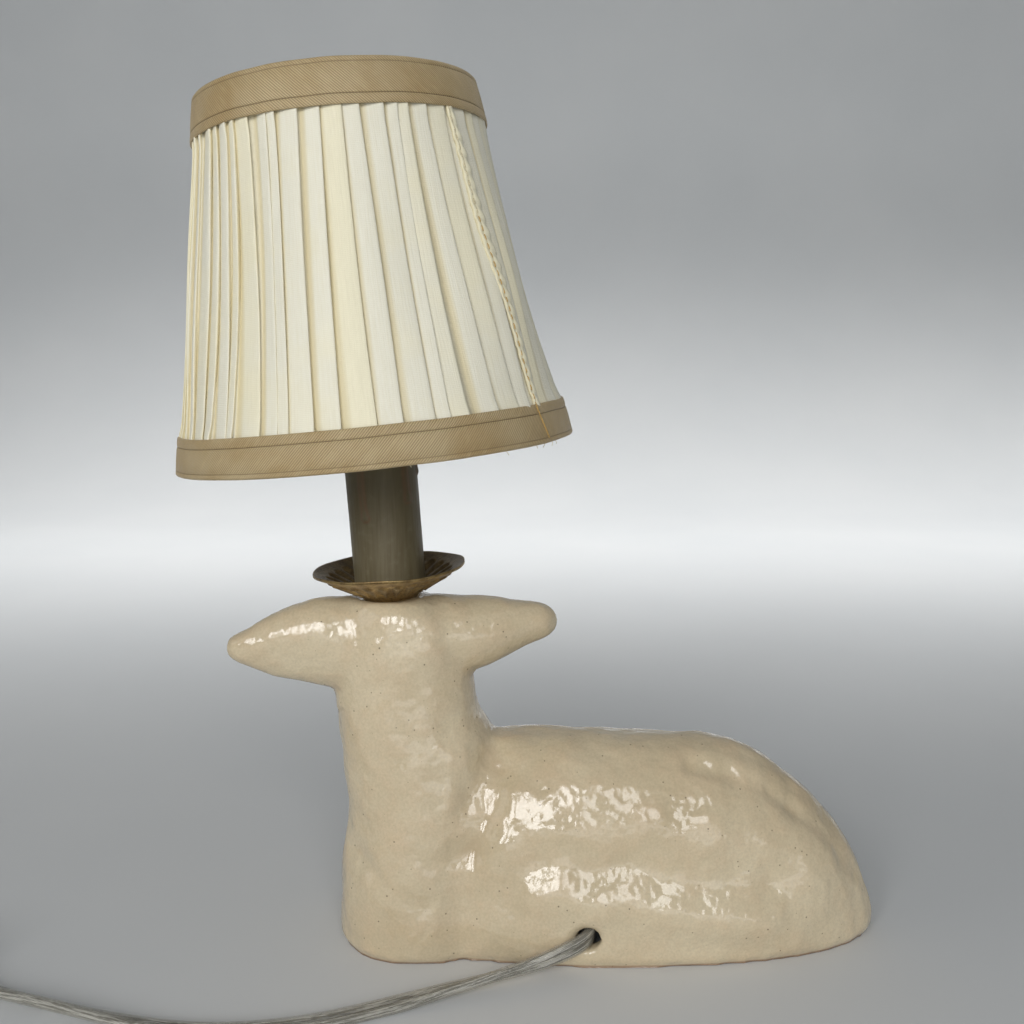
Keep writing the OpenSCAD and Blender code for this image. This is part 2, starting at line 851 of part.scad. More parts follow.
// Tie that holds the cord inside the wall
strain_tie_at = [15.9, -15.5, 12.1];
strain_tie = [7, 10, 2.5];
strain_tie_wall = 1.4;
module cord_strain_tie() {
    inside = strain_tie - [2 * strain_tie_wall, 2 * strain_tie_wall, -1];
    color("white")
        translate(strain_tie_at)
            rotate([82, 0, 12])
                difference() {
                    cube(strain_tie, center = true);
                    cube(inside, center = true);
                }
}

// In-line switch: two shells, a thumbwheel on an upright axle, screw and contacts
switch_x = -214;
switch_y = -41;
switch_length = 56;
switch_width = 22;
switch_height = 13;
switch_wall = 1.5;
wheel_r = 9;
wheel_t = 4;
wheel_y = -4.6;
axle_r = 1.5;
wheel_play = 0.3;
screw_x = 17;
screw_y = -4.4;
screw_r = 1.25;
screw_head_r = 2.4;
screw_head_t = 1.3;
post_r = 3;
module at_switch(z) {
    translate([switch_x, switch_y, z])
        children();
}

module capsule(length, width, height) {
    r = width / 2;
    for (side = [-1, 1])
        translate([side * (length / 2 - r), 0, 0])
            cylinder(r = r, h = height, $fn = fine);
    translate([-length / 2 + r, -r, 0])
        cube([length - width, width, height]);
}

// A post inside a shell, for the axle or for the screw
module post(x, y, height) {
    translate([x, y, 0])
        cylinder(r = post_r, h = height, $fn = small);
}

// A round hole in a shell
module bore(x, y, from, r) {
    translate([x, y, from])
        cylinder(r = r, h = switch_height, $fn = fine);
}

module switch_half() {
    half = switch_height / 2 - 0.02;
    wheel_from = switch_height / 2 - wheel_t / 2 - wheel_play;
    slot_from = switch_height / 2 - cord_thickness / 2 - 0.7;
    difference() {
        union() {
            difference() {
                capsule(switch_length, switch_width, half);
                translate([0, 0, switch_wall])
                    capsule(switch_length - 2 * switch_wall, switch_width - 2 * switch_wall, half);
            }
            post(0, wheel_y, wheel_from);
            post(screw_x, screw_y, half);
        }
        bore(0, wheel_y, switch_wall / 2, axle_r + gap);
        bore(0, wheel_y, wheel_from, wheel_r + wheel_play + 0.1);
        translate([-switch_length, -cord_width / 2 - 0.5, slot_from])
            cube([2 * switch_length, cord_width + 1, switch_height]);
    }
}

module switch_lower_shell() {
    color("whitesmoke", 0.8)
        at_switch(0)
            difference() {
                switch_half();
                bore(screw_x, screw_y, -1, screw_r + gap);
                bore(screw_x, screw_y, -switch_height + screw_head_t + 0.3, screw_head_r + 0.1);
            }
}

module switch_upper_shell() {
    color("whitesmoke", 0.8)
        at_switch(switch_height)
            mirror([0, 0, 1])
                difference() {
                    switch_half();
                    bore(screw_x, screw_y, 2, screw_r + gap);
                }
}

module switch_wheel() {
    notches = 24;
    notch_r = 0.8;
    color("white")
        at_switch(0)
            translate([0, wheel_y, 0]) {
                translate([0, 0, switch_height / 2 - wheel_t / 2])
                    difference() {
                        cylinder(r = wheel_r, h = wheel_t, $fn = fine);
                        for (i = [0:notches - 1])
                            rotate([0, 0, i * 360 / notches])
                                translate([wheel_r + notch_r / 2, 0, -1])
                                    cylinder(r = notch_r, h = wheel_t + 2, $fn = small);
                    }
                translate([0, 0, switch_wall / 2 + 0.15])
                    cylinder(r = axle_r, h = switch_height - switch_wall - 0.3, $fn = small);
            }
}

module switch_screw() {
    shank = 8.5;
    head_z = 0.2;
    slot = [6, 0.6, 0.5];
    color("silver")
        at_switch(0)
            translate([screw_x, screw_y, head_z]) {
                translate([0, 0, screw_head_t])
                    cylinder(r = screw_r, h = shank, $fn = small);
                difference() {
                    cylinder(r = screw_head_r, h = screw_head_t, $fn = small);
                    translate([-slot[0] / 2, -slot[1] / 2, -head_z])
                        cube(slot + [0, 0, head_z]);
                }
            }
}

// Two spring blades, one at each side of the wheel
contact_blade = [0.6, 5, 4];
module switch_contacts() {
    color("gold")
        at_switch(0)
            for (side = [-1, 1])
                translate([side * (wheel_r + 1.6), wheel_y - 0.5, switch_height / 2])
                    cube(contact_blade, center = true);
}

// Plug, lying on its broad side with its blades towards the lamp
plug_x = -272;
plug_y = 47;
plug_z = 7.5;
plug_depth = 16;
plug_width = 23;
collar_r = 4.2;
collar_length = 5;
blade = [22, 1.5, 6.3];
blade_pitch = 12.7;
blade_root = 15;
blade_hole_r = 1.6;
blade_hole_in = 4;
module at_plug() {
    translate([plug_x, plug_y, plug_z])
        children();
}

module plug_body() {
    color("gainsboro", 0.8)
        at_plug() {
            translate([0.02, 0, 0])
                rotate([0, 90, 0])
                    cylinder(r = collar_r, h = collar_length + 1, $fn = small);
            difference() {
                translate([collar_length, -plug_width / 2, -plug_z])
                    cube([plug_depth, plug_width, 2 * plug_z]);
                for (side = [-1, 1])
                    translate([blade_root, side * blade_pitch / 2 - blade[1] / 2 - gap, -blade[2] / 2 - gap])
                        cube([plug_depth, blade[1] + 2 * gap, blade[2] + 2 * gap]);
            }
        }
}

module plug_blades() {
    color("gold")
        at_plug()
            for (side = [-1, 1])
                translate([blade_root + gap, side * blade_pitch / 2, 0])
                    difference() {
                        translate([0, -blade[1] / 2, -blade[2] / 2])
                            cube(blade);
                        translate([blade[0] - blade_hole_in, 0, 0])
                            rotate([90, 0, 0])
                                cylinder(r = blade_hole_r, h = 4 * blade[1], center = true, $fn = small);
                    }
}

ceramic_body();
drip_pan();
candle_sleeve();
threaded_nipple();
upper_nut();
lower_nut();
steel_washer();
rubber_washer();
socket_bracket();
socket_shell();
socket_screw_shell();
socket_contact();
socket_rivet();
socket_terminals();
socket_wires();
bulb_envelope();
bulb_base();
bulb_insulator();
bulb_contact();
bulb_mount();
bulb_filament();
bulb_clip();
shade_crossbar();
shade_top_ring();
shade_bottom_ring();
shade_ribs();
shade_lining();
shade_pleats();
shade_top_band();
shade_bottom_band();
shade_seam();
cord_inner();
cord_strain_tie();
cord_lead();
cord_coil();
cord_tail();
coil_tie();
switch_lower_shell();
switch_upper_shell();
switch_wheel();
switch_screw();
switch_contacts();
plug_body();
plug_blades();
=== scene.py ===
import json
import math

import bpy
import numpy as np
from mathutils import Matrix, Vector, noise


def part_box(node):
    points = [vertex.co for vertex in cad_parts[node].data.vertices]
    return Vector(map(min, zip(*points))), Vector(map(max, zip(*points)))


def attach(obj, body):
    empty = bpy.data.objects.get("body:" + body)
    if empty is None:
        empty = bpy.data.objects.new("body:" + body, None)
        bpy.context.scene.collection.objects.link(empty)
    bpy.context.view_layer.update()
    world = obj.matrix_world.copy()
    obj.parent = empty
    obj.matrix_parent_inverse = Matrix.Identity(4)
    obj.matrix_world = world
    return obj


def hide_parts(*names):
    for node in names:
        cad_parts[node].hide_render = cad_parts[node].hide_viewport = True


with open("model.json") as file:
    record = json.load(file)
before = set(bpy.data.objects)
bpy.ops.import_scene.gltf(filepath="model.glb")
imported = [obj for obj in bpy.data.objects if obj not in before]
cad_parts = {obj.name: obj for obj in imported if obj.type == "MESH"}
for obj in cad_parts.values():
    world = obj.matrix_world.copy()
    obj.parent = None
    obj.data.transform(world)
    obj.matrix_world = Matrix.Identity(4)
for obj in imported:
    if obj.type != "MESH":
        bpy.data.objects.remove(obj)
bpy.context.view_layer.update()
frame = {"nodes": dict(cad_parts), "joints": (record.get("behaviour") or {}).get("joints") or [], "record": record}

MM = 0.001
TURN = 2 * math.pi


# ---------------------------------------------------------------- frames of the leaning parts

def middle(node):
    """Middle of a CAD node's box."""
    low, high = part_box(node)
    return (low + high) / 2


def joint(name):
    """The record's joint of that name."""
    return next(j for j in frame["joints"] if j["name"] == name)


def upright(origin, axis):
    """A frame at origin with Z along axis and Y kept level."""
    z = Vector(axis).normalized()
    x = Vector((0, 1, 0)).cross(z).normalized()
    y = z.cross(x)
    return Matrix.Translation(origin) @ Matrix((x, y, z)).transposed().to_4x4()


def carried(points, place):
    """Points given in the axes of a frame, moved to where they stand."""
    matrix = np.array(place)
    return np.asarray(points) @ matrix[:3, :3].T + matrix[:3, 3]


def within(node, place):
    """A CAD node's points, in the axes of a frame."""
    points = np.array([v.co for v in frame["nodes"][node].data.vertices])
    return carried(points, place.inverted())


def radius_at(points, low, high):
    """Largest distance from the Z axis among the points between two heights."""
    level = points[(points[:, 2] >= low) & (points[:, 2] <= high)]
    return np.hypot(level[:, 0], level[:, 1]).max()


NIPPLE = upright(middle("threaded_nipple"), middle("candle_sleeve") - middle("threaded_nipple"))
STEM = NIPPLE @ Matrix.Translation((0, 0, within("drip_pan", NIPPLE)[:, 2].min()))
SHADE = upright(joint("shade_tilt")["pos_m"], joint("shade_lift")["axis"])

TOP_BAND = within("shade_top_band", SHADE)
BOTTOM_BAND = within("shade_bottom_band", SHADE)
HEM = 0.7 * MM                                   # thickness of the bias tape
RIM_Z = TOP_BAND[:, 2].max() - HEM               # upper and lower edges of the shade
SKIRT_Z = BOTTOM_BAND[:, 2].min() + HEM
RIM_R = radius_at(TOP_BAND, RIM_Z, RIM_Z + HEM)
SKIRT_R = radius_at(BOTTOM_BAND, SKIRT_Z - HEM, SKIRT_Z)
TOP_HEIGHT = RIM_Z - TOP_BAND[:, 2].min()
BOTTOM_HEIGHT = BOTTOM_BAND[:, 2].max() - SKIRT_Z
RIBS = 6


def cone(z):
    """Radius of the outside of the shade at a height in its own frame."""
    return RIM_R + (RIM_Z - z) * (SKIRT_R - RIM_R) / (RIM_Z - SKIRT_Z)


# ---------------------------------------------------------------- meshes

def smooth(points, per):
    """A smooth curve through the rows of points, with per steps from each to the next."""
    rows = np.array([points[0], *points, points[-1]], float)
    steps = np.arange(per)[:, None] / per
    out = []
    for a, b, c, d in zip(rows, rows[1:], rows[2:], rows[3:]):
        u, v, w = steps, steps ** 2, steps ** 3
        curve = 2 * b + (c - a) * u + (2 * a - 5 * b + 4 * c - d) * v + (3 * b - a - 3 * c + d) * w
        out.append(curve / 2)
    return np.vstack([*out, rows[-1]])


def evenly(points, step):
    """The same line with its points a step apart."""
    length = np.r_[0, np.cumsum(np.linalg.norm(np.diff(points[:, :3], axis=0), axis=1))]
    at = np.linspace(0, length[-1], max(2, round(length[-1] / step)))
    return np.stack([np.interp(at, length, column) for column in points.T], 1)


def lumps(points, size, seed=0):
    """Smooth noise from about -1 to 1, with lumps of the given size."""
    shift = Vector((seed * 7.3, seed * 3.1, seed * 5.7))
    return np.array([noise.noise(Vector(p) / size + shift) for p in points])


def fade(value, low, high):
    """0 below low, 1 above high, and a smooth step between."""
    t = np.clip((value - low) / (high - low), 0, 1)
    return t * t * (3 - 2 * t)


def level_ring(radius, angles, z):
    """Points round the Z axis, from a radius, an angle and a height each."""
    z = z * np.ones(len(angles))
    return np.stack([radius * np.cos(angles), radius * np.sin(angles), z], 1)


def attribute(piece, name, values):
    """Gives each point of a piece a value that its material reads."""
    made = piece.data.attributes.new(name, "FLOAT", "POINT")
    made.data.foreach_set("value", np.asarray(values, float))


def finish_object(name, mesh, material):
    """Puts a mesh in the scene, smooth and with its material."""
    mesh.shade_smooth()
    mesh.materials.clear()
    mesh.materials.append(material)
    piece = bpy.data.objects.new(name, mesh)
    bpy.context.scene.collection.objects.link(piece)
    return piece


def skin(name, rings, material, uv=None, closed=True, loop=False, cap=False):
    """A surface through rings of points. closed joins each ring's ends, loop the last to the first."""
    rings = np.asarray(rings, float)
    rows, columns = rings.shape[:2]
    r, c = np.meshgrid(np.arange(rows - (not loop)), np.arange(columns - (not closed)), indexing="ij")
    corners = [(r, c), (r, c + 1), (r + 1, c + 1), (r + 1, c)]
    faces = np.stack([i % rows * columns + j % columns for i, j in corners], -1).reshape(-1, 4).tolist()
    if cap:
        faces.append(list(range(columns))[::-1])
        faces.append(list(range((rows - 1) * columns, rows * columns)))
    mesh = bpy.data.meshes.new(name)
    mesh.from_pydata(rings.reshape(-1, 3).tolist(), [], faces)
    if uv is not None:
        flat = np.stack([uv[i, j] for i, j in corners], -2).reshape(-1, 2)
        flat = np.vstack([flat, np.zeros((len(mesh.loops) - len(flat), 2))])
        mesh.uv_layers.new(name="flat").data.foreach_set("uv", flat.ravel())
    mesh.validate()
    return finish_object(name, mesh, material)


def joined(name, pieces):
    """Several objects made into one."""
    with bpy.context.temp_override(active_object=pieces[0], selected_editable_objects=pieces):
        bpy.ops.object.join()
    pieces[0].name = pieces[0].data.name = name
    return pieces[0]


def tube(name, line, radius, material, sides=8):
    """A round wire along a line of points."""
    line = np.asarray(line, float)
    ahead = np.gradient(line, axis=0)
    ahead /= np.linalg.norm(ahead, axis=1)[:, None]
    side = np.cross(ahead, np.roll(ahead, 1, 1) + np.array([0.3, 0.5, 0.8]))
    side /= np.linalg.norm(side, axis=1)[:, None]
    up = np.cross(ahead, side)
    turn = np.arange(sides) * TURN / sides
    ring = np.cos(turn)[None, :, None] * side[:, None] + np.sin(turn)[None, :, None] * up[:, None]
    return skin(name, line[:, None] + radius * ring, material, cap=True)


# ---------------------------------------------------------------- materials

class Surface:
    """A material whose colour, roughness and bump come from nodes."""

    def __init__(self, name, **values):
        self.material = bpy.data.materials.new(name)
        self.material.use_nodes = True
        self.tree = self.material.node_tree
        self.shader = self.tree.nodes["Principled BSDF"]
        for label, value in values.items():
            self.feed(self.shader.inputs[label.replace("_", " ")], value)

    def feed(self, socket, value):
        if isinstance(value, bpy.types.NodeSocket):
            self.tree.links.new(value, socket)
        elif socket.type == "RGBA" and len(value) == 3:
            socket.default_value = (*value, 1)
        else:
            socket.default_value = value

    def node(self, kind, settings, *inputs):
        made = self.tree.nodes.new("ShaderNode" + kind)
        for label, value in settings.items():
            setattr(made, label, value)
        for socket, value in zip(made.inputs, inputs):
            if value is not None:
                self.feed(socket, value)
        return made

    def place(self, stretch=(1, 1, 1), turn=0, flat=False):
        """Where a point is: in metres on the object, or on the flat cloth."""
        at = self.node("TexCoord", {}).outputs["UV" if flat else "Object"]
        if turn:
            at = self.node("Mapping", {}, at, None, (0, 0, turn)).outputs[0]
        return self.node("Mapping", {}, at, None, None, stretch).outputs[0]

    def stored(self, name):
        """A value that the mesh holds for each of its points."""
        return self.node("Attribute", {"attribute_name": name}).outputs["Fac"]

    def noise(self, at, size, detail=3, roughness=0.55):
        made = self.node("TexNoise", {})
        self.feed(made.inputs["Vector"], at)
        self.feed(made.inputs["Scale"], 1 / size)
        self.feed(made.inputs["Detail"], detail)
        self.feed(made.inputs["Roughness"], roughness)
        return made.outputs[0]

    def stripes(self, at, size, wander=0):
        """Ridges across X, one every size."""
        made = self.node("TexWave", {"wave_type": "BANDS", "bands_direction": "X"})
        self.feed(made.inputs["Vector"], at)
        self.feed(made.inputs["Scale"], TURN / 20 / size)
        self.feed(made.inputs["Distortion"], wander)
        return made.outputs["Fac"]

    def maths(self, operation, a, b):
        return self.node("Math", {"operation": operation}, a, b).outputs[0]

    def between(self, value, low, high, to_low=0.0, to_high=1.0):
        """A value from low to high, carried to another range and held within it."""
        return self.node("MapRange", {}, value, low, high, to_low, to_high).outputs[0]

    def mix(self, factor, a, b):
        made = self.node("Mix", {"data_type": "RGBA"})
        first, second = [s for s in made.inputs if s.type == "RGBA"]
        self.feed(made.inputs[0], factor)
        self.feed(first, a)
        self.feed(second, b)
        return next(s for s in made.outputs if s.type == "RGBA")

    def colour(self, value):
        self.feed(self.shader.inputs["Base Color"], value)

    def rough(self, value, low, high):
        self.feed(self.shader.inputs["Roughness"], self.between(value, 0.3, 0.7, low, high))

    def bump(self, *layers):
        """Each layer is a height from 0 to 1 and the distance that it stands for."""
        normal = None
        for height, distance in layers:
            made = self.node("Bump", {})
            self.feed(made.inputs["Distance"], distance)
            self.feed(made.inputs["Height"], height)
            if normal is not None:
                self.feed(made.inputs["Normal"], normal)
            normal = made.outputs[0]
        self.feed(self.shader.inputs["Normal"], normal)


def glazed_ceramic():
    """Clear gloss over cream clay with fine dark specks and a cloudy, hand-worked surface."""
    s = Surface("glazed_ceramic", Specular_IOR_Level=0.9)
    at = s.place()
    cloud = s.noise(at, 38 * MM, 4)
    blotch = s.noise(at, 9 * MM, 5, 0.62)
    grain = s.noise(at, 0.8 * MM, 2)
    clay = s.mix(s.between(cloud, 0.35, 0.65), (0.63, 0.515, 0.335), (0.74, 0.63, 0.435))
    clay = s.mix(s.between(blotch, 0.42, 0.72, 0, 0.5), clay, (0.70, 0.53, 0.34))
    clay = s.mix(s.between(grain, 0.35, 0.7, 0, 0.22), clay, (0.36, 0.30, 0.20))
    for size, share, depth in ((2.4 * MM, 0.66, 0.75), (1.1 * MM, 0.8, 0.5)):
        speck = s.node("TexVoronoi", {"feature": "F1"})
        s.feed(speck.inputs["Vector"], at)
        s.feed(speck.inputs["Scale"], 1 / size)
        spot = s.between(speck.outputs["Distance"], 0.06, 0.15, 1, 0)
        chosen = s.between(speck.outputs["Color"], share, share + 0.03)
        clay = s.mix(s.maths("MULTIPLY", spot, s.maths("MULTIPLY", chosen, depth)), clay, (0.10, 0.07, 0.045))
    # Painted shade: the clay is darker and browner in the hollows of the surface.
    hollow = s.stored("hollow")
    clay = s.mix(s.maths("MULTIPLY", hollow, 0.35), clay, (0.46, 0.33, 0.19))
    # Darker brown along the lowest 1.3 mm of the figure, where it meets the table.
    foot = s.between(s.node("SeparateXYZ", {}, at).outputs["Z"], 0.4 * MM, 1.3 * MM, 0.8, 0)
    s.colour(s.mix(foot, clay, (0.23, 0.13, 0.075)))
    s.rough(blotch, 0.09, 0.19)
    s.bump((s.noise(at, 9 * MM, 2), 1.1 * MM), (s.noise(at, 2.8 * MM, 2), 0.08 * MM),
           (s.noise(at, 0.9 * MM, 2), 0.012 * MM))
    return s.material


def cream_silk():
    """Fine plain-woven cloth: each pleat a little cooler or warmer, and a painted shade, golden, in the folds."""
    s = Surface("cream_silk", Sheen_Weight=0.15, Sheen_Roughness=0.4, Roughness=0.55)
    flat = s.place(flat=True)
    across = s.stripes(flat, 0.42 * MM, 0.6)
    along = s.stripes(s.place(turn=math.pi / 2, flat=True), 0.5 * MM, 0.6)
    slub = s.noise(s.place(stretch=(1, 0.06, 1), flat=True), 0.7 * MM, 3)
    cloud = s.noise(s.place(), 24 * MM, 3)
    fold = s.stored("fold")
    tint = s.stored("tint")
    warm = s.between(s.maths("ADD", tint, s.between(cloud, 0.35, 0.65, -0.25, 0.25)), 0.2, 0.8)
    cloth = s.mix(warm, (0.92, 0.89, 0.75), (0.96, 0.90, 0.67))
    cloth = s.mix(s.between(slub, 0.42, 0.7, 0, 0.30), cloth, (0.80, 0.74, 0.54))
    weave = s.maths("MULTIPLY", across, along)
    cloth = s.mix(s.between(weave, 0, 0.6, 0.20, 0), cloth, (0.66, 0.60, 0.42))
    # Painted shade: golden and darker where the cloth folds under, from the mesh's fold value.
    cloth = s.mix(s.maths("MULTIPLY", fold, 0.75), cloth, (0.74, 0.63, 0.36))
    s.colour(cloth)
    s.rough(slub, 0.40, 0.60)
    s.bump((weave, 0.05 * MM), (slub, 0.10 * MM))
    return s.material


def gold_bias_tape():
    """Tan satin tape, cut on the bias so that its twill runs at 45 degrees."""
    s = Surface("gold_bias_tape", Sheen_Weight=0.35, Sheen_Roughness=0.3, Sheen_Tint=(1, 0.86, 0.6))
    lean = math.radians(45)
    twill = s.stripes(s.place(turn=lean, flat=True), 0.60 * MM, 0.25)
    cross = s.stripes(s.place(turn=-lean, flat=True), 0.42 * MM, 0.25)
    slub = s.noise(s.place(stretch=(1, 0.12, 1), turn=lean, flat=True), 0.9 * MM, 3)
    cloud = s.noise(s.place(), 16 * MM, 3)
    # Painted shade in the bottoms of the tape's folds.
    crease = s.stored("crease")
    tape = s.mix(s.between(cloud, 0.35, 0.65), (0.50, 0.355, 0.165), (0.60, 0.47, 0.265))
    tape = s.mix(s.between(twill, 0.15, 0.85, 0.62, 0), tape, (0.19, 0.125, 0.055))
    tape = s.mix(s.between(slub, 0.5, 0.75, 0, 0.3), tape, (0.72, 0.58, 0.34))
    s.colour(s.mix(s.maths("MULTIPLY", crease, 0.85), tape, (0.12, 0.075, 0.03)))
    s.rough(slub, 0.34, 0.55)
    s.bump((twill, 0.10 * MM), (cross, 0.04 * MM), (slub, 0.06 * MM))
    return s.material


def lining_cloth():
    """Plain white lining, with a faint weave."""
    s = Surface("lining_cloth", Sheen_Weight=0.2)
    at = s.place()
    weave = s.noise(s.place(stretch=(1, 1, 0.1)), 0.6 * MM, 3)
    s.colour(s.mix(s.between(s.noise(at, 15 * MM), 0.4, 0.6), (0.80, 0.76, 0.62), (0.86, 0.83, 0.71)))
    s.rough(weave, 0.6, 0.8)
    s.bump((weave, 0.06 * MM), (s.noise(at, 6 * MM), 0.3 * MM))
    return s.material


def thread(name, colour):
    """Sewing thread, twisted from fine fibres."""
    s = Surface(name, Sheen_Weight=0.3)
    at = s.place()
    twist = s.noise(at, 0.25 * MM, 2)
    s.colour(s.mix(s.between(twist, 0.35, 0.65), colour, tuple(0.55 * c for c in colour)))
    s.rough(twist, 0.4, 0.6)
    s.bump((twist, 0.04 * MM))
    return s.material


def antique_brass():
    """Pressed brass with a brown patina, brighter where it is rubbed and where a highlight and reflected light are
    painted on.
    """
    s = Surface("antique_brass", Metallic=0.85)
    at = s.place()
    stain = s.noise(at, 3.5 * MM, 5, 0.65)
    fine = s.noise(at, 0.8 * MM, 4, 0.7)
    # The rubbed, brighter brass stands for wear in part and for a painted highlight and painted reflected light in
    # part.
    wear_and_painted_highlight = s.stored("wear_and_painted_highlight")
    metal = s.mix(s.between(stain, 0.35, 0.65), (0.115, 0.085, 0.05), (0.20, 0.145, 0.075))
    rubbed = s.mix(s.between(stain, 0.4, 0.6), (0.30, 0.19, 0.07), (0.62, 0.44, 0.18))
    metal = s.mix(wear_and_painted_highlight, metal, rubbed)
    s.colour(s.mix(s.between(fine, 0.5, 0.72, 0, 0.7), metal, (0.06, 0.045, 0.03)))
    s.rough(fine, 0.28, 0.5)
    s.bump((fine, 0.06 * MM), (stain, 0.12 * MM))
    return s.material


def metal(name, colour, dark, low, high, size=4 * MM):
    """Drawn or plated metal with faint lines and a cloudy finish."""
    s = Surface(name, Metallic=1.0)
    cloud = s.noise(s.place(), size, 4)
    lines = s.noise(s.place(stretch=(1, 1, 0.08)), 0.35 * MM, 2)
    s.colour(s.mix(s.between(cloud, 0.3, 0.7), dark, colour))
    s.rough(cloud, low, high)
    s.bump((lines, 0.015 * MM))
    return s.material


def moulded(name, colour, dark, low, high, **values):
    """Moulded plastic, rubber or resin with a fine skin."""
    s = Surface(name, **values)
    cloud = s.noise(s.place(), 9 * MM, 4)
    grain = s.noise(s.place(), 0.5 * MM, 3)
    s.colour(s.mix(s.between(cloud, 0.35, 0.65), dark, colour))
    s.rough(grain, low, high)
    s.bump((grain, 0.02 * MM), (cloud, 0.08 * MM))
    return s.material


def candle_resin():
    """Ivory sleeve gone brown, with fine streaks down it, like old wax, and the shade's shadow painted on its
    upper part.
    """
    s = Surface("candle_resin", Specular_IOR_Level=0.35)
    streak = s.noise(s.place(stretch=(1, 1, 0.04)), 0.9 * MM, 4, 0.65)
    band = s.noise(s.place(stretch=(1, 1, 0.1)), 5 * MM, 3)
    wax = s.mix(s.between(band, 0.35, 0.65), (0.17, 0.142, 0.078), (0.235, 0.20, 0.125))
    wax = s.mix(s.between(streak, 0.45, 0.75, 0, 0.6), wax, (0.12, 0.085, 0.045))
    wax = s.mix(s.between(s.noise(s.place(), 3 * MM, 4), 0.55, 0.8, 0, 0.5), wax, (0.30, 0.27, 0.18))
    # Painted shadow of the shade: the sleeve darkens towards the top, from 0.118 m up to 0.152 m.
    height = s.node("SeparateXYZ", {}, s.place()).outputs["Z"]
    wax = s.mix(s.between(height, 0.118, 0.152, 0, 0.75), wax, (0.075, 0.058, 0.024))
    stain = s.stored("stain")
    s.colour(s.mix(stain, wax, (0.14, 0.075, 0.035)))
    s.rough(streak, 0.4, 0.6)
    s.bump((streak, 0.10 * MM), (band, 0.1 * MM))
    return s.material


def clear(name, tint, low, high, size, depth, ior=1.5):
    """Glass or clear plastic with slight ripples."""
    s = Surface(name, Transmission_Weight=1.0, IOR=ior)
    cloud = s.noise(s.place(), size, 3)
    s.colour(s.mix(s.between(cloud, 0.35, 0.65), tint, tuple(0.94 * c for c in tint)))
    s.rough(cloud, low, high)
    s.bump((cloud, depth))
    return s.material


def clear_cord():
    """Soft clear jacket: most of it lets the strands show, and its skin is glossy and a little wavy."""
    s = Surface("clear_cord", Alpha=0.34, Specular_IOR_Level=1.0)
    cloud = s.noise(s.place(), 4 * MM, 3)
    s.colour(s.mix(s.between(cloud, 0.35, 0.65), (0.40, 0.385, 0.325), (0.54, 0.52, 0.45)))
    s.rough(cloud, 0.08, 0.2)
    s.bump((cloud, 0.3 * MM), (s.noise(s.place(), 1.2 * MM, 3), 0.05 * MM))
    return s.material


def stranded_wire():
    """Tinned strands laid in a long twist, seen through the cord's clear jacket, with painted glints along them.
    """
    s = Surface("stranded_wire", Metallic=0.4)
    lay = s.stripes(s.place(turn=math.radians(8), flat=True), 0.42 * MM, 1.0)
    streak = s.noise(s.place(stretch=(1, 0.05, 1), flat=True), 0.7 * MM, 3, 0.6)
    # Painted highlights: near-white streaks along the strands stand in for glints, over the strands' own tone.
    strand_tone_and_painted_glints = s.mix(s.between(streak, 0.46, 0.56), (0.16, 0.15, 0.12), (1.0, 0.98, 0.91))
    s.colour(s.mix(s.between(lay, 0.0, 0.5, 0.6, 0), strand_tone_and_painted_glints, (0.10, 0.095, 0.085)))
    s.rough(streak, 0.2, 0.4)
    s.bump((lay, 0.12 * MM), (streak, 0.15 * MM))
    return s.material


MATERIALS = {
    "glazed_ceramic": glazed_ceramic(),
    "antique_brass": antique_brass(),
    "candle_resin": candle_resin(),
    "bright_brass": metal("bright_brass", (0.86, 0.66, 0.30), (0.66, 0.47, 0.18), 0.18, 0.34),
    "plated_steel": metal("plated_steel", (0.72, 0.72, 0.70), (0.52, 0.52, 0.51), 0.22, 0.42),
    "rubber": moulded("rubber", (0.045, 0.044, 0.042), (0.025, 0.025, 0.024), 0.6, 0.8),
    "phenolic": moulded("phenolic", (0.13, 0.065, 0.03), (0.08, 0.04, 0.02), 0.3, 0.5),
    "clear_glass": clear("clear_glass", (0.98, 0.985, 0.975), 0.0, 0.03, 9 * MM, 0.05 * MM),
    "black_glass": moulded("black_glass", (0.02, 0.02, 0.025), (0.01, 0.01, 0.012), 0.08, 0.2),
    "tungsten": metal("tungsten", (0.36, 0.34, 0.33), (0.22, 0.21, 0.2), 0.35, 0.55, 1 * MM),
    "solder": metal("solder", (0.66, 0.66, 0.64), (0.45, 0.45, 0.44), 0.3, 0.5, 1 * MM),
    "brass_wire": metal("brass_wire", (0.78, 0.58, 0.26), (0.55, 0.38, 0.15), 0.2, 0.4),
    "lining_cloth": lining_cloth(),
    "cream_silk": cream_silk(),
    "gold_bias_tape": gold_bias_tape(),
    "clear_cord": clear_cord(),
    "clear_plastic": clear("clear_plastic", (0.90, 0.90, 0.88), 0.10, 0.22, 5 * MM, 0.08 * MM),
    "white_nylon": moulded("white_nylon", (0.82, 0.82, 0.80), (0.74, 0.74, 0.71), 0.35, 0.5),
}
SEAM_THREAD = thread("seam_thread", (0.80, 0.70, 0.45))
GOLD_THREAD = thread("gold_thread", (0.72, 0.45, 0.12))
STRANDS = stranded_wire()


# ---------------------------------------------------------------- camera, lights and floor

def make_camera():
    """The camera stands in front of the figure's flank and looks a little down."""
    data = bpy.data.cameras.new("camera")
    data.sensor_width = 36
    data.lens = 36.82
    camera = bpy.data.objects.new("camera", data)
    camera.location = (-0.0085, -0.3411, 0.1969)
    camera.rotation_euler = (math.radians(90 - 8.72), 0, 0)
    bpy.context.scene.collection.objects.link(camera)
    bpy.context.scene.camera = camera


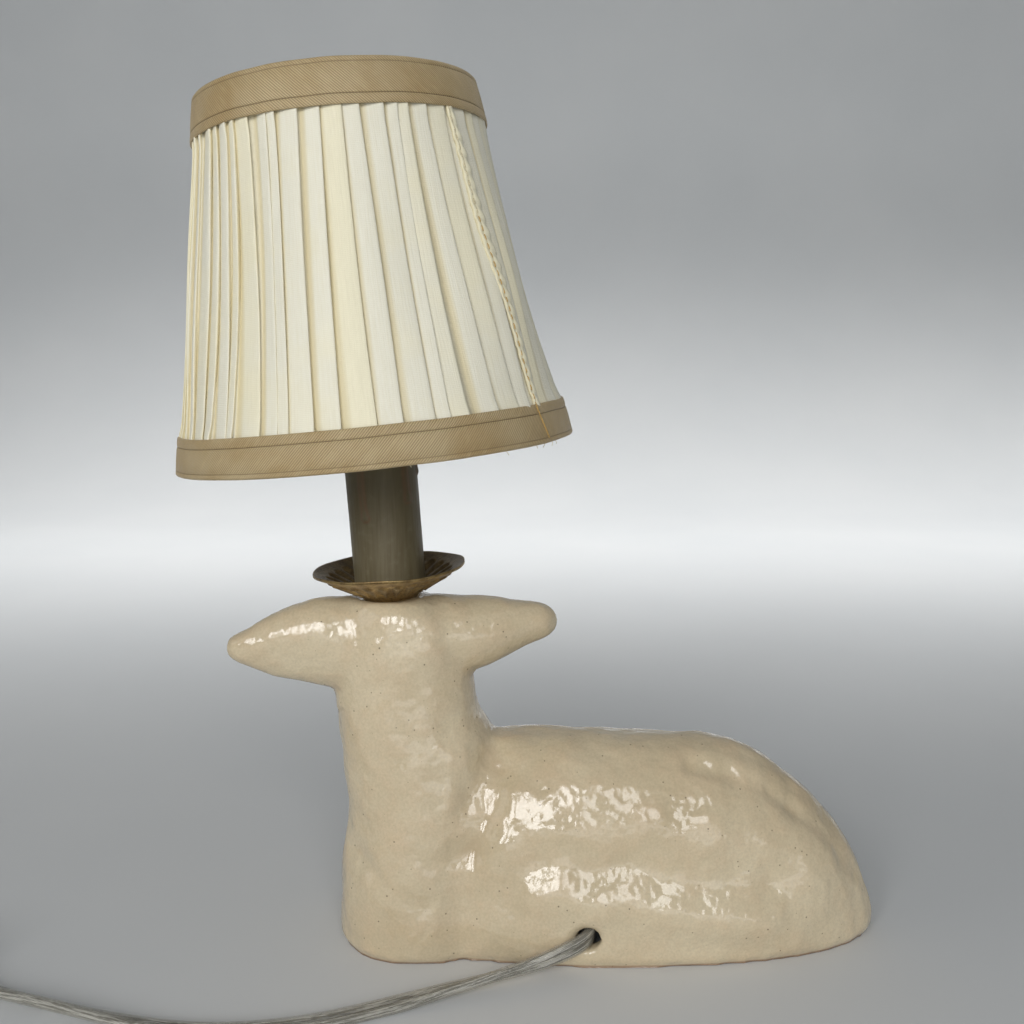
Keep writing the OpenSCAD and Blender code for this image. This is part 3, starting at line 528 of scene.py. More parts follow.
def soft_light(name, place, target, size, power, spread=180):
    """A rectangular soft box that shines from place to target."""
    data = bpy.data.lights.new(name, "AREA")
    data.shape = "RECTANGLE"
    data.size, data.size_y = size
    data.energy = power
    data.spread = math.radians(spread)
    box = bpy.data.objects.new(name, data)
    box.location = place
    box.rotation_euler = (Vector(target) - Vector(place)).to_track_quat("-Z", "Y").to_euler()
    box.visible_camera = False
    bpy.context.scene.collection.objects.link(box)


def make_lights():
    """Three panes of a window in front, two soft fills, and a wash of light on the backdrop."""
    for x, power in ((-0.85, 6.3), (-0.30, 6.2), (0.35, 3.4)):
        soft_light("window_pane", (x, -1.45, 0.80), (0, 0, 0.08), (0.36, 0.8), power)
    soft_light("low_fill", (0.30, -1.30, 0.16), (0.02, 0, 0.03), (1.3, 0.22), 1.1)
    soft_light("left_fill", (-1.5, -0.5, 0.7), (0, 0, 0.1), (0.9, 0.9), 1.5)
    soft_light("sweep_wash", (0.28, 0.60, 0.72), (0.28, 0.80, 0), (2.3, 0.3), 5.3, 103)
    world = bpy.data.worlds.new("studio")
    world.use_nodes = True
    world.node_tree.nodes["Background"].inputs["Color"].default_value = (0.93, 0.97, 1, 1)
    world.node_tree.nodes["Background"].inputs["Strength"].default_value = 0.18
    bpy.context.scene.world = world
    bpy.context.scene.view_settings.view_transform = "Standard"


def make_floor():
    """A pale sheet that lies flat under the lamp and curves up behind it."""
    s = Surface("pale_sheet", Roughness=0.8)
    cloud = s.noise(s.place(), 0.25, 3)
    s.colour(s.mix(s.between(cloud, 0.3, 0.7), (0.67, 0.685, 0.69), (0.71, 0.72, 0.72)))
    bend_y, bend_r, top = 0.85, 0.55, 2.0
    arc = [(bend_y + bend_r * math.sin(a), bend_r * (1 - math.cos(a)))
           for a in np.linspace(0, math.pi / 2, 24)]
    side = [(-2.5, 0), (-0.5, 0), *arc, (bend_y + bend_r, top)]
    rings = [[(x, y, z - 0.05 * MM) for y, z in side] for x in (-3, -1, 0, 1, 3)]
    floor = skin("pale_floor", rings, s.material, closed=False)


make_camera()


# ---------------------------------------------------------------- cord

CORD_WIDTH = 6.6 * MM
CORD_THICKNESS = 3.3 * MM
# Points of the free cord in metres, with the angle of its width above the table in degrees
LEAD_ROUTE = [
    (0.0176, -0.023, 0.0108, 80), (0.0162, -0.028, 0.0105, 80), (0.0125, -0.032, 0.0097, 78),
    (0.005, -0.035, 0.0077, 70), (-0.004, -0.0376, 0.0058, 55), (-0.016, -0.0412, 0.0042, 35),
    (-0.030, -0.0456, 0.0028, 15), (-0.043, -0.0506, 0.0019, 0), (-0.056, -0.0556, 0.0017, 0),
    (-0.070, -0.0602, 0.0017, 0), (-0.086, -0.063, 0.0017, 0), (-0.101, -0.0632, 0.0019, 8),
    (-0.116, -0.0612, 0.0023, 20), (-0.131, -0.0576, 0.0027, 32), (-0.147, -0.0528, 0.003, 42),
    (-0.163, -0.0476, 0.003, 35), (-0.172, -0.0448, 0.0032, 15), (-0.1795, -0.0426, 0.0044, 0),
    (-0.187, -0.0414, 0.006, 0), (-0.195, -0.0406, 0.0065, 30), (-0.203, -0.037, 0.0065, 75),
    (-0.214, -0.0336, 0.0065, 90), (-0.225, -0.037, 0.0065, 75), (-0.233, -0.0406, 0.0065, 30),
    (-0.242, -0.041, 0.0058, 30), (-0.252, -0.0406, 0.0044, 60), (-0.262, -0.0402, 0.0034, 80),
    (-0.276, -0.040, 0.0034, 90), (-0.298, -0.040, 0.0034, 90),
]
TAIL_ROUTE = [
    (-0.3339, 0.0222, 0.0101, 90), (-0.3303, 0.0306, 0.009, 90), (-0.3243, 0.0405, 0.006, 70),
    (-0.3153, 0.049, 0.0032, 30), (-0.304, 0.0524, 0.0024, 0), (-0.2925, 0.0514, 0.0032, 0),
    (-0.2815, 0.048, 0.006, 0), (-0.272, 0.047, 0.0075, 0),
]
COIL_MIDDLE = (-0.298, 0.0015)
COIL_OUTER, COIL_INNER = 0.0415, 0.0305
COIL_TURNS = 19 / 3
CROSSING = (3.25, 3.75)            # turns at which the winding climbs to its upper layer
COIL_START = -90
LAYERS = (3.4 * MM, 10.1 * MM)
TIE_ANGLE = 20
TIE_LIFT = 0.7 * MM
STRANDS_R = 1.1 * MM


def coil_route():
    """Turns wound inwards on the table, then outwards on top of themselves, over the tie."""
    turns = np.linspace(0, COIL_TURNS, round(COIL_TURNS * 48) + 1)
    angle = np.radians(COIL_START - 360 * turns)
    radius = np.interp(turns, [0, *CROSSING, COIL_TURNS],
                       [COIL_OUTER, COIL_INNER, COIL_INNER, COIL_OUTER])
    height = LAYERS[0] + (LAYERS[1] - LAYERS[0]) * fade(turns, *CROSSING)
    off_tie = np.angle(np.exp(1j * (angle - math.radians(TIE_ANGLE)))) * radius
    height += TIE_LIFT * np.exp(-(off_tie / (7 * MM)) ** 2) * (1 - 0.6 * fade(turns, *CROSSING))
    return np.stack([COIL_MIDDLE[0] + radius * np.cos(angle), COIL_MIDDLE[1] + radius * np.sin(angle),
                     height, np.full(len(turns), 90.0)], 1)


def cord_frame(route):
    """Centre line, and the directions across the cord's width and its thickness."""
    line = route[:, :3]
    ahead = np.gradient(line, axis=0)
    ahead /= np.linalg.norm(ahead, axis=1)[:, None]
    level = np.cross((0, 0, 1), ahead)
    level /= np.linalg.norm(level, axis=1)[:, None]
    up = np.cross(ahead, level)
    tilt = np.radians(route[:, 3])[:, None]
    return line, level * np.cos(tilt) + up * np.sin(tilt), up * np.cos(tilt) - level * np.sin(tilt)


def twin_section(steps=15):
    """Outline of two round cores side by side with a web between them."""
    core = CORD_THICKNESS / 2
    web = 0.55 * core
    x = CORD_WIDTH / 2 * np.cos(np.linspace(0, math.pi, steps))
    y = np.sqrt(np.maximum(core ** 2 - (np.abs(x) - core) ** 2, 0))
    y = np.where(np.abs(x) < core, np.maximum(y, web), y)
    return np.r_[np.stack([x, y], 1), np.stack([x, -y], 1)[-2:0:-1]]


def make_cord():
    """The clear jacket and its two stranded cores, from inside the hole to the plug."""
    step = 1.3 * MM
    lead, tail = smooth(LEAD_ROUTE, 12), smooth(TAIL_ROUTE, 12)
    route = evenly(np.vstack([lead[:-1], coil_route(), tail[1:]]), step)
    line, across, up = cord_frame(route)
    section = twin_section()
    rings = line[:, None] + section[:, 0, None] * across[:, None] + section[:, 1, None] * up[:, None]
    cord = skin("power_cord", rings, MATERIALS["clear_cord"], cap=True)
    strands = []
    turn = np.linspace(0, TURN, 11)
    for side in (-1, 1):
        middle_line = line + side * CORD_THICKNESS / 2 * across
        bulge = STRANDS_R * (1 + 0.12 * lumps(middle_line, 2.2 * MM, side))
        wire = bulge[:, None, None] * (np.cos(turn[:-1])[None, :, None] * across[:, None]
                                       + np.sin(turn[:-1])[None, :, None] * up[:, None])
        rows = np.arange(len(line)) * step
        uv = np.stack(np.meshgrid(turn * STRANDS_R, rows), -1)
        strands.append(skin("strand", middle_line[:, None] + wire, STRANDS, uv=uv, cap=True))
    wires = joined("cord_strands", strands)
    for piece in (cord, wires):
        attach(piece, "lamp")
    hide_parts("cord_lead", "cord_coil", "cord_tail")
    plug()


# ---------------------------------------------------------------- ceramic figure

VOXEL = 1.25 * MM
SHOULDER_X = -14.5 * MM                          # where the neck meets the flank
CORD_HOLE = (0.0154, -0.0305, 0.0104)
# Lines inside the figure that its outer surface faces away from
BONES = [
    [(-0.036, 0, 0.024), (0.088, 0, 0.024)], [(-0.036, 0, 0.040), (0.062, 0, 0.044)],
    [(-0.038, 0, 0.020), (-0.044, 0, 0.070), (-0.047, 0, 0.100)],
    [(-0.094, -0.0078, 0.101), (-0.075, -0.0036, 0.1013), (-0.046, 0, 0.1016), (-0.001, 0.004, 0.106)],
    [(-0.047, 0, 0.100), (-0.0495, 0.020, 0.0976), (-0.0535, 0.048, 0.0886)],
]


def nearest(points, line):
    """The nearest points of a line of straight stretches."""
    found = np.zeros_like(points)
    reach = np.full(len(points), np.inf)
    for a, b in zip(np.array(line[:-1]), np.array(line[1:])):
        t = np.clip((points - a) @ (b - a) / max((b - a) @ (b - a), 1e-12), 0, 1)
        spot = a + t[:, None] * (b - a)
        distance = np.linalg.norm(points - spot, axis=1)
        closer = distance < reach
        found[closer], reach[closer] = spot[closer], distance[closer]
    return found, reach


def outward(points, normals):
    """1 on the outside of the figure and 0 on the wall of its hollow."""
    away = np.zeros_like(points)
    reach = np.full(len(points), np.inf)
    for bone in BONES:
        spot, distance = nearest(points, bone)
        closer = distance < reach
        away[closer] = (points - spot)[closer]
        reach[closer] = distance[closer]
    away /= np.maximum(np.linalg.norm(away, axis=1), 1e-9)[:, None]
    return fade((away * normals).sum(1), 0.1, 0.5)


def remeshed(node, voxel):
    """A copy of a CAD node with an even skin of small faces."""
    raw = bpy.data.objects.new("raw", frame["nodes"][node].data.copy())
    bpy.context.scene.collection.objects.link(raw)
    change = raw.modifiers.new("even", "REMESH")
    change.mode = "VOXEL"
    change.voxel_size = voxel
    mesh = bpy.data.meshes.new_from_object(raw.evaluated_get(bpy.context.evaluated_depsgraph_get()))
    bpy.data.objects.remove(raw)
    return mesh


def neighbour_mean(points, edges):
    """The mean of each point's neighbours."""
    count = np.bincount(edges.ravel(), minlength=len(points))
    total = [np.bincount(edges[:, 0], points[edges[:, 1], k], len(points))
             + np.bincount(edges[:, 1], points[edges[:, 0], k], len(points)) for k in range(3)]
    return np.stack(total, 1) / count[:, None]


def relax(points, edges, rounds):
    """Rounds off creases without shrinking the shape."""
    for step in [0.5, -0.53] * rounds:
        points = points + step * (neighbour_mean(points, edges) - points)
    return points


def soften(points, edges, weight, rounds):
    """Fills a crease in where the weight is near 1."""
    for _ in range(rounds):
        points = points + 0.5 * weight[:, None] * (neighbour_mean(points, edges) - points)
    return points


def mark(points, line, width, depth, side=None):
    """A rounded groove, or a ridge if depth is negative, along a line. With a side, only on that side
    of the figure and however deep the surface lies."""
    if side is None:
        reach = nearest(points, line)[1]
        return -depth * np.exp(-(reach / width) ** 2)
    flat = points * (1, 0, 1)
    reach = nearest(flat, [(x, 0, z) for x, z in line])[1]
    return -depth * np.exp(-(reach / width) ** 2) * fade(side * points[:, 1], 2 * MM, 9 * MM)


def modelled_by_hand(points):
    """How far the clay stands out from the plain form: lumps, folds of the body and the face."""
    rise = 1.3 * MM * lumps(points, 27 * MM, 1) + 0.70 * MM * lumps(points, 12 * MM, 2)
    rise += 0.15 * MM * lumps(points, 5 * MM, 3)
    # Each mark on the flanks: its line in X and Z, its width, and its depth, less than 0 where it rises
    marks = [
        ([(0.050, 0.0620), (0.062, 0.0590), (0.075, 0.0540), (0.086, 0.0460)], 2.4, 1.0),   # haunch
        ([(0.084, 0.0475), (0.098, 0.0350), (0.107, 0.0230)], 2.4, 0.9),
        ([(0.056, 0.0640), (0.064, 0.0615), (0.074, 0.0570)], 3, -0.7),
        ([(0.090, 0.0530), (0.103, 0.0400)], 6, 1.3),
        ([(0.060, 0.0480), (0.078, 0.0430), (0.092, 0.0320)], 9, -1.2),
        ([(-0.013, 0.062), (-0.016, 0.050), (-0.021, 0.036)], 4.5, 1.7),                    # neck
        ([(0.000, 0.0360), (0.035, 0.0330), (0.072, 0.0270)], 7.5, 2.0),                    # belly
        ([(0.000, 0.0235), (0.035, 0.0205), (0.074, 0.0135)], 7.5, -2.2),                   # hind leg
        ([(-0.010, 0.0110), (0.010, 0.0080)], 6, -1.3),
        ([(-0.0150, 0.0060), (-0.0145, 0.0400)], 5, -0.9),
        ([(-0.060, 0.0350), (-0.047, 0.0250), (-0.036, 0.0210)], 3, 0.9),                   # foreleg
        ([(-0.034, 0.033), (-0.022, 0.038)], 3.5, 0.7),
    ]
    for way in (-1, 1):
        for line, width, depth in marks:
            rise += mark(points, line, width * MM, depth * MM, way)
    for tip in ((-0.0985, -0.0085, 0.1012), (0.0025, 0.0045, 0.1066)):      # ear tips
        rise += mark(points, [tip, tip], 6.5 * MM, -2 * MM)
    return rise + face(points)


def face(points):
    """Shallow eyes, nostrils, a mouth and hollow ears, on the side that looks away."""
    rise = np.zeros(len(points))
    for side in (-1, 1):
        eye = (-0.0500 + side * 0.0135, 0.0215, 0.1035)
        rise += mark(points, [eye, eye], 4.2 * MM, 1.6 * MM)
        rise += mark(points, [eye, eye], 2.2 * MM, -1.7 * MM)
        brow = [(eye[0] - 4 * MM, 0.019, 0.1085), (eye[0] + 4 * MM, 0.019, 0.1085)]
        rise += mark(points, brow, 2.6 * MM, -0.9 * MM)
        nostril = (-0.0542 + side * 0.0032, 0.0535, 0.0892)
        rise += mark(points, [nostril, nostril], 1.5 * MM, 1.3 * MM)
    rise += mark(points, [(-0.0630, 0.040, 0.0862), (-0.0565, 0.0535, 0.0850), (-0.0515, 0.0535, 0.0850),
                          (-0.0440, 0.040, 0.0862)], 1.4 * MM, 1.0 * MM)
    rise += mark(points, [(-0.093, -0.0005, 0.1012), (-0.074, 0.0080, 0.1005)], 4.2 * MM, 2.4 * MM)
    rise += mark(points, [(-0.003, 0.0105, 0.1062), (-0.021, 0.0125, 0.1040)], 4.2 * MM, 2.4 * MM)
    return rise


def normals_of(mesh):
    """The normal at each point of a mesh."""
    flat = np.zeros(len(mesh.vertices) * 3)
    mesh.vertices.foreach_get("normal", flat)
    return flat.reshape(-1, 3)


def move_points(mesh, points):
    """Puts the points of a mesh in new places, and gives the normals there."""
    mesh.vertices.foreach_set("co", points.ravel())
    mesh.update()
    return normals_of(mesh)


def make_figure():
    """The glazed figure: the CAD body with its creases filled, modelled by hand and settled."""
    mesh = remeshed("ceramic_body", VOXEL)
    points = np.array([v.co for v in mesh.vertices])
    edges = np.array([e.vertices[:] for e in mesh.edges])
    points = relax(points, edges, 45)
    normals = move_points(mesh, points)
    shoulder = np.exp(-((points[:, 0] - SHOULDER_X) / (9 * MM)) ** 2)
    low = (1 - fade(points[:, 2], 32 * MM, 52 * MM)) * fade(points[:, 2], 0, 2 * MM)
    points = soften(points, edges, shoulder * low * outward(points, normals), 170)
    normals = move_points(mesh, points)
    foot = fade(points[:, 2], 0.5 * MM, 7 * MM)
    outer = outward(points, normals) * fade(from_stem(points), 9 * MM, 13 * MM)
    hole = np.linalg.norm((points - np.array(CORD_HOLE)) * (1, 0.3, 1), axis=1)
    outer *= 0.25 + 0.75 * fade(hole, 4.5 * MM, 7 * MM)
    points += normals * (modelled_by_hand(points) * outer * foot)[:, None]
    tuck = (1 - fade(points[:, 2], 0, 4.5 * MM)) * fade(outer, 0.2, 0.9)
    inward = -normals * (1, 1, 0)
    points += inward * (1.6 * MM * tuck ** 2)[:, None]
    settle(points)
    normals = move_points(mesh, points)
    # For the painted shade in the hollows: how far each point lies below the mean of the points round it.
    blur = points
    for _ in range(10):
        blur = neighbour_mean(blur, edges)
    sunk = ((blur - points) * normals).sum(1)
    figure = finish_object("ceramic_figure", mesh, MATERIALS["glazed_ceramic"])
    attribute(figure, "hollow", fade(sunk, 0.10 * MM, 0.7 * MM))
    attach(figure, "lamp")
    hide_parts("ceramic_body")


def from_stem(points):
    """Distance of points from the axis of the stem."""
    local = carried(points, STEM.inverted())
    return np.hypot(local[:, 0], local[:, 1])


def settle(points):
    """The unglazed foot rests flat on the table and lifts a little here and there."""
    low = points[:, 2] < 1.0 * MM
    lift = 0.35 * MM * np.clip(lumps(points[low], 22 * MM, 5), 0, 1)
    points[low, 2] = np.maximum(points[low, 2], 0) + lift
    points[:, 2] = np.maximum(points[:, 2], 0)


# ---------------------------------------------------------------- shade

PLEATS = 57
PLEAT_OUT = 0.8 * MM
PLEAT_RISE = 1.15 * MM
PLEAT_IN = 2.2 * MM
WAIST = 2.3 * MM
# One pleat: the part of its width, and how far it stands out
PLEAT = [(-0.12, 0.02), (-0.04, 0.06), (0.08, 0.24), (0.24, 0.46), (0.42, 0.64), (0.60, 0.79),
         (0.78, 0.92), (0.90, 0.99), (0.975, 0.98), (1.0, 0.86), (0.985, 0.68), (0.94, 0.40), (0.90, 0.14)]


def stretched_in(angle, z):
    """The cloth is drawn in between the upright wires, most at half height."""
    between = 0.5 - 0.5 * np.cos(RIBS * (angle - math.pi / RIBS))
    t = np.clip((z - SKIRT_Z - BOTTOM_HEIGHT) / (RIM_Z - SKIRT_Z - TOP_HEIGHT - BOTTOM_HEIGHT), 0, 1)
    return WAIST * between * np.sin(math.pi * t) ** 0.9


def make_pleats():
    """Knife pleats, gathered unevenly by hand, round the frame, from the lower edge to the upper."""
    rng = np.random.default_rng(7)
    widths = 1 + 0.38 * rng.uniform(-1, 1, PLEATS)
    starts = np.cumsum(np.r_[0, widths])[:-1] / widths.sum() * TURN
    widths *= TURN / widths.sum()
    heights = np.linspace(SKIRT_Z + 0.4 * MM, RIM_Z - 0.4 * MM, 60)
    part = np.array([p[0] for p in PLEAT])
    rise = np.array([p[1] for p in PLEAT])
    depth = 1 + 0.28 * rng.uniform(-1, 1, (PLEATS, 3))
    sway = rng.uniform(-1, 1, (PLEATS, 3))
    puff = rng.uniform(0.1, 1, (2, PLEATS, 1))
    # Where shade is painted on each fold: at its bottom, most where the cloth stands out least.
    crease = np.tile(np.where((part < 0.1) | (part > 0.93), 1 - rise, 0), PLEATS)
    rings, uv = [], []
    for z in heights:
        t = (z - SKIRT_Z) / (RIM_Z - SKIRT_Z)
        shape = np.array([(1 - t) ** 2, 2 * t * (1 - t), t ** 2])
        free = math.sin(math.pi * np.clip(t, 0, 1))
        shift = widths * 0.30 * (sway @ shape)
        angle = (starts + shift)[:, None] + widths[:, None] * part
        open_up = 1 + 0.18 * free * np.sin(9 * t + 5 * sway[:, :1])
        out = PLEAT_RISE * np.clip((depth @ shape)[:, None] * open_up, 0.55, 1.35) * rise
        # The cloth puffs out where it is drawn in under each band
        for end, bunch in zip((SKIRT_Z + BOTTOM_HEIGHT, RIM_Z - TOP_HEIGHT), puff):
            out += 0.75 * MM * bunch * rise * math.exp(-((z - end) / (2.4 * MM)) ** 2)
        angle, out = angle.ravel(), out.ravel()
        radius = cone(z) - PLEAT_OUT - PLEAT_RISE * 1.05 + out * (0.86 + 0.3 * free)
        radius -= stretched_in(angle, z)
        wrinkle = [(math.cos(a) * 60, math.sin(a) * 60, z / MM / 14) for a in angle]
        radius += 0.16 * MM * free * lumps(np.array(wrinkle), 3.0, 4)
        rings.append(level_ring(radius, angle, z))
        spread = np.r_[angle, angle[0] + TURN] * SKIRT_R * 1.25
        uv.append(np.stack([spread, np.full(len(spread), z)], 1))
    tint = np.repeat(rng.uniform(0, 1, PLEATS), len(part))
    return rings, crease, tint, np.array(uv), heights


def inner_ring(ring, z):
    """The back of the pleats at a height, a smooth ring under every fold."""
    angle = np.arctan2(ring[:, 1], ring[:, 0])
    radius = cone(z) - PLEAT_IN - 0.1 * MM - stretched_in(angle, z)
    return level_ring(radius, angle, z)


def pleated_cover():
    """The pleated cloth, a closed shell: the folds outside and a smooth ring behind them."""
    rings, crease, tint, uv, heights = make_pleats()
    inside = [inner_ring(ring, z) for ring, z in zip(rings[::-1], heights[::-1])]
    shell = np.array([carried(r, SHADE) for r in [*rings, *inside]])
    every = np.concatenate([uv, uv[::-1], uv[:1]])
    cover = skin("pleated_cover", shell, MATERIALS["cream_silk"], uv=every, loop=True)
    # Painted shade in the folds, and a little of it over all the back of the pleats.
    attribute(cover, "fold", [*np.tile(crease, len(rings)), *np.full(len(crease) * len(inside), 0.3)])
    attribute(cover, "tint", np.tile(tint, len(rings) + len(inside)))
    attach(cover, "shade")
    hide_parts("shade_pleats")


def lining():
    """A thin smooth cone behind the wires, drawn in as the pleats are."""
    angles = np.arange(180) * TURN / 180
    heights = np.linspace(SKIRT_Z + 0.4 * MM, RIM_Z - 0.4 * MM, 24)
    rings = []
    for depth, order in ((4.55 * MM, heights), (4.95 * MM, heights[::-1])):
        for z in order:
            radius = cone(z) - depth - stretched_in(angles, z)
            rings.append(level_ring(radius, angles, z))
    cloth = skin("lining", np.array([carried(r, SHADE) for r in rings]), MATERIALS["lining_cloth"],
                 loop=True)
    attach(cloth, "shade")
    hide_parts("shade_lining")


SEAM_ANGLES = (-31, -38)          # degrees, at the lower and at the upper band
SEAM_WIDTH = 4.2 * MM
SEAM_LENGTH = 90 * MM
SEAM_FOLD = -0.22                 # where the strip is folded, across its width
STITCHES, GOLD_STITCHES = 34, 22


def on_cone(degrees, z, proud):
    """A point on the shade at an angle and a height, standing proud of the cone."""
    a = math.radians(degrees)
    radius = cone(z) + proud - stretched_in(np.array([a]), z)[0]
    return np.array([radius * math.cos(a), radius * math.sin(a), z])


def seam_path(t):
    """Angle and height along the seam, from 0 at the lower band to 1 at the upper."""
    low, high = SKIRT_Z + BOTTOM_HEIGHT, RIM_Z - TOP_HEIGHT
    degrees = np.interp(t, [0, 1], SEAM_ANGLES) + 0.7 * math.sin(5.5 * t) - 0.4 * math.sin(13 * t)
    return degrees, low - 1 * MM + t * (high - low + 2 * MM)


def stitches(name, ends, material, radius):
    """Short loops of thread, each from one point to the next, lying a little proud."""
    made = []
    for start, end in ends:
        bow = 0.16 * MM * np.sin(np.linspace(0, math.pi, 7))[:, None]
        outwards = (start + end) * (1, 1, 0)
        outwards /= np.linalg.norm(outwards)
        line = start + np.linspace(0, 1, 7)[:, None] * (end - start) + bow * outwards
        made.append(tube("stitch", carried(line, SHADE), radius, material, 6))
    piece = joined(name, made)
    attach(piece, "shade")


def seam():
    """The cloth's seam: a narrow puckered strip, and the stitches that hold it."""
    steps = 150
    # Section of the strip: the part of its width, and 1 on the face or 0 on the back
    section = [*((u, 1) for u in np.linspace(-0.5, 0.5, 11)), (0.5, 0), (-0.5, 0)]
    rng = np.random.default_rng(3)
    phase = rng.uniform(0, TURN, 4)
    rings = []
    for t in np.linspace(0, 1, steps):
        degrees, z = seam_path(t)
        pucker = math.sin(150 * t + phase[0]) + 0.6 * math.sin(83 * t + phase[1])
        swell = 0.62 + 0.38 * math.sin(math.pi * t) + 0.05 * pucker
        row = []
        for u, top in section:
            wave = 0.20 * MM * math.sin(120 * t + 4 * u + phase[2]) * top
            crown = 0.45 * MM * (1 - (2 * abs(u)) ** 3) * top
            fold = -0.35 * MM * math.exp(-((u - SEAM_FOLD) / 0.07) ** 2) * top
            proud = -0.55 * MM + crown + fold + wave - 0.5 * MM * (1 - top)
            spread = math.degrees(u * SEAM_WIDTH * swell / cone(z))
            row.append(on_cone(degrees + spread, z, proud))
        rings.append(row)
    rings = np.array(rings)
    length = np.linspace(0, SEAM_LENGTH, steps)
    across = np.array([u * SEAM_WIDTH for u, _ in [*section, section[0]]])
    uv = np.stack(np.meshgrid(length, across, indexing="ij")[::-1], -1)
    shell = np.array([carried(r, SHADE) for r in rings])[:, ::-1]
    strip = skin("shade_seam_strip", shell, MATERIALS["cream_silk"], uv=uv[:, ::-1], cap=True)
    # Painted shade along the strip's fold line and at its edges.
    folded = np.array([0.55 * math.exp(-((u - SEAM_FOLD) / 0.10) ** 2) + 0.5 * (abs(u) > 0.45)
                       for u, _ in section])
    attribute(strip, "fold", np.tile(folded[::-1], steps))
    attribute(strip, "tint", np.full(steps * len(section), 0.9))
    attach(strip, "shade")
    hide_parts("shade_seam")
    lines = []
    for k in range(STITCHES):
        ends = []
        for t in (k / STITCHES, (k + 0.62) / STITCHES):
            degrees, z = seam_path(t)
            ends.append(on_cone(degrees + math.degrees(SEAM_FOLD * SEAM_WIDTH / cone(z)), z, -0.28 * MM))
        lines.append(ends)
    stitches("seam_stitches", lines[:GOLD_STITCHES], GOLD_THREAD, 0.16 * MM)
    stitches("seam_stitches_pale", lines[GOLD_STITCHES:], SEAM_THREAD, 0.16 * MM)


def band_stitches():
    """The line of thread where the ends of the lower tape meet, and loose ends under its edge."""
    low, high = SKIRT_Z + 0.8 * MM, SKIRT_Z + BOTTOM_HEIGHT - 0.6 * MM
    path = [on_cone(-30 - 2.6 * t, low + t * (high - low), 0.10 * MM) for t in np.linspace(0, 1, 9)]
    stitches("band_joint_stitches", list(zip(path, path[1:])), GOLD_THREAD, 0.2 * MM)
    rng = np.random.default_rng(21)
    ends = []
    for degrees in (-36, -31, -27, -25, -48, -75):
        start = on_cone(degrees, SKIRT_Z - 0.4 * MM, -1.0 * MM)
        ends.append([start, start + MM * np.array((*rng.uniform(-1, 1, 2), -rng.uniform(0.5, 1.5)))])
    stitches("loose_threads", ends, SEAM_THREAD, 0.09 * MM)


def tape_section(height):
    """Section of the folded tape: height from the shade's edge and depth inside the cone, in mm."""
    h = height / MM
    return [
        (-0.62, 1.7), (-0.68, 0.95), (-0.50, 0.32), (-0.1, 0.04), (0.75, 0.0), (0.95, 0.24),
        (1.2, 0.02), (h * 0.35, -0.06), (h * 0.6, -0.04), (h - 3.35, 0.02), (h - 3.1, 0.12),
        (h - 2.95, 0.46), (h - 2.75, 0.14), (h - 2.3, 0.02), (h - 1.2, 0.0), (h - 0.3, 0.1),
        (h - 0.05, 0.34), (h - 0.1, 0.72), (h * 0.5, 0.74), (0.5, 0.76), (0.06, 1.3), (0.06, 4.6),
        (0.8, 5.12), (4, 5.12), (7.9, 5.12), (8.0, 5.45), (7.9, 5.8), (4, 5.8), (0.2, 5.8),
        (-0.45, 5.4), (-0.66, 4.6), (-0.66, 3.2),
    ]


def band(name, node, edge, way, height, seed):
    """A folded tape round one edge of the shade."""
    columns = 260
    angles = np.arange(columns) * TURN / columns
    rows, uv = [], []
    around = np.stack([np.cos(angles), np.sin(angles), np.zeros(columns)], 1)
    ripple = lumps(around, 0.16, seed)
    slack = lumps(around, 0.5, seed + 1)
    run = 0
    section = tape_section(height)
    for k, (h, depth) in enumerate(section):
        last = section[k - 1] if k else section[0]
        run += math.hypot(h - last[0], depth - last[1]) * MM
        outer = 1 if depth < 1 else 0
        z = edge + way * (h * MM + outer * fade(h * MM, 1 * MM, height) * 0.28 * MM * slack)
        z = z + way * 0.14 * MM * ripple * outer
        radius = cone(z) - depth * MM + outer * 0.10 * MM * ripple
        rows.append(level_ring(radius, angles, z))
        spread = np.arange(columns + 1) * TURN / columns * cone(edge)
        uv.append(np.stack([spread, np.full(columns + 1, run)], 1))
    uv.append(uv[0] + (0, run))
    order = slice(None, None, -way)
    tape = skin(name, np.array([carried(r, SHADE) for r in rows])[:, order], MATERIALS["gold_bias_tape"],
                uv=np.array(uv)[:, order], loop=True)
    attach(tape, "shade")
    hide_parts(node)
    # Painted shade at two points of the section, in the bottoms of the tape's folds.
    dark = {5: 0.7, 11: 1.0}                     # points of the section at the bottom of a fold
    attribute(tape, "crease", np.repeat([dark.get(k, 0.0) for k in range(len(section))], columns))


# ---------------------------------------------------------------- stem

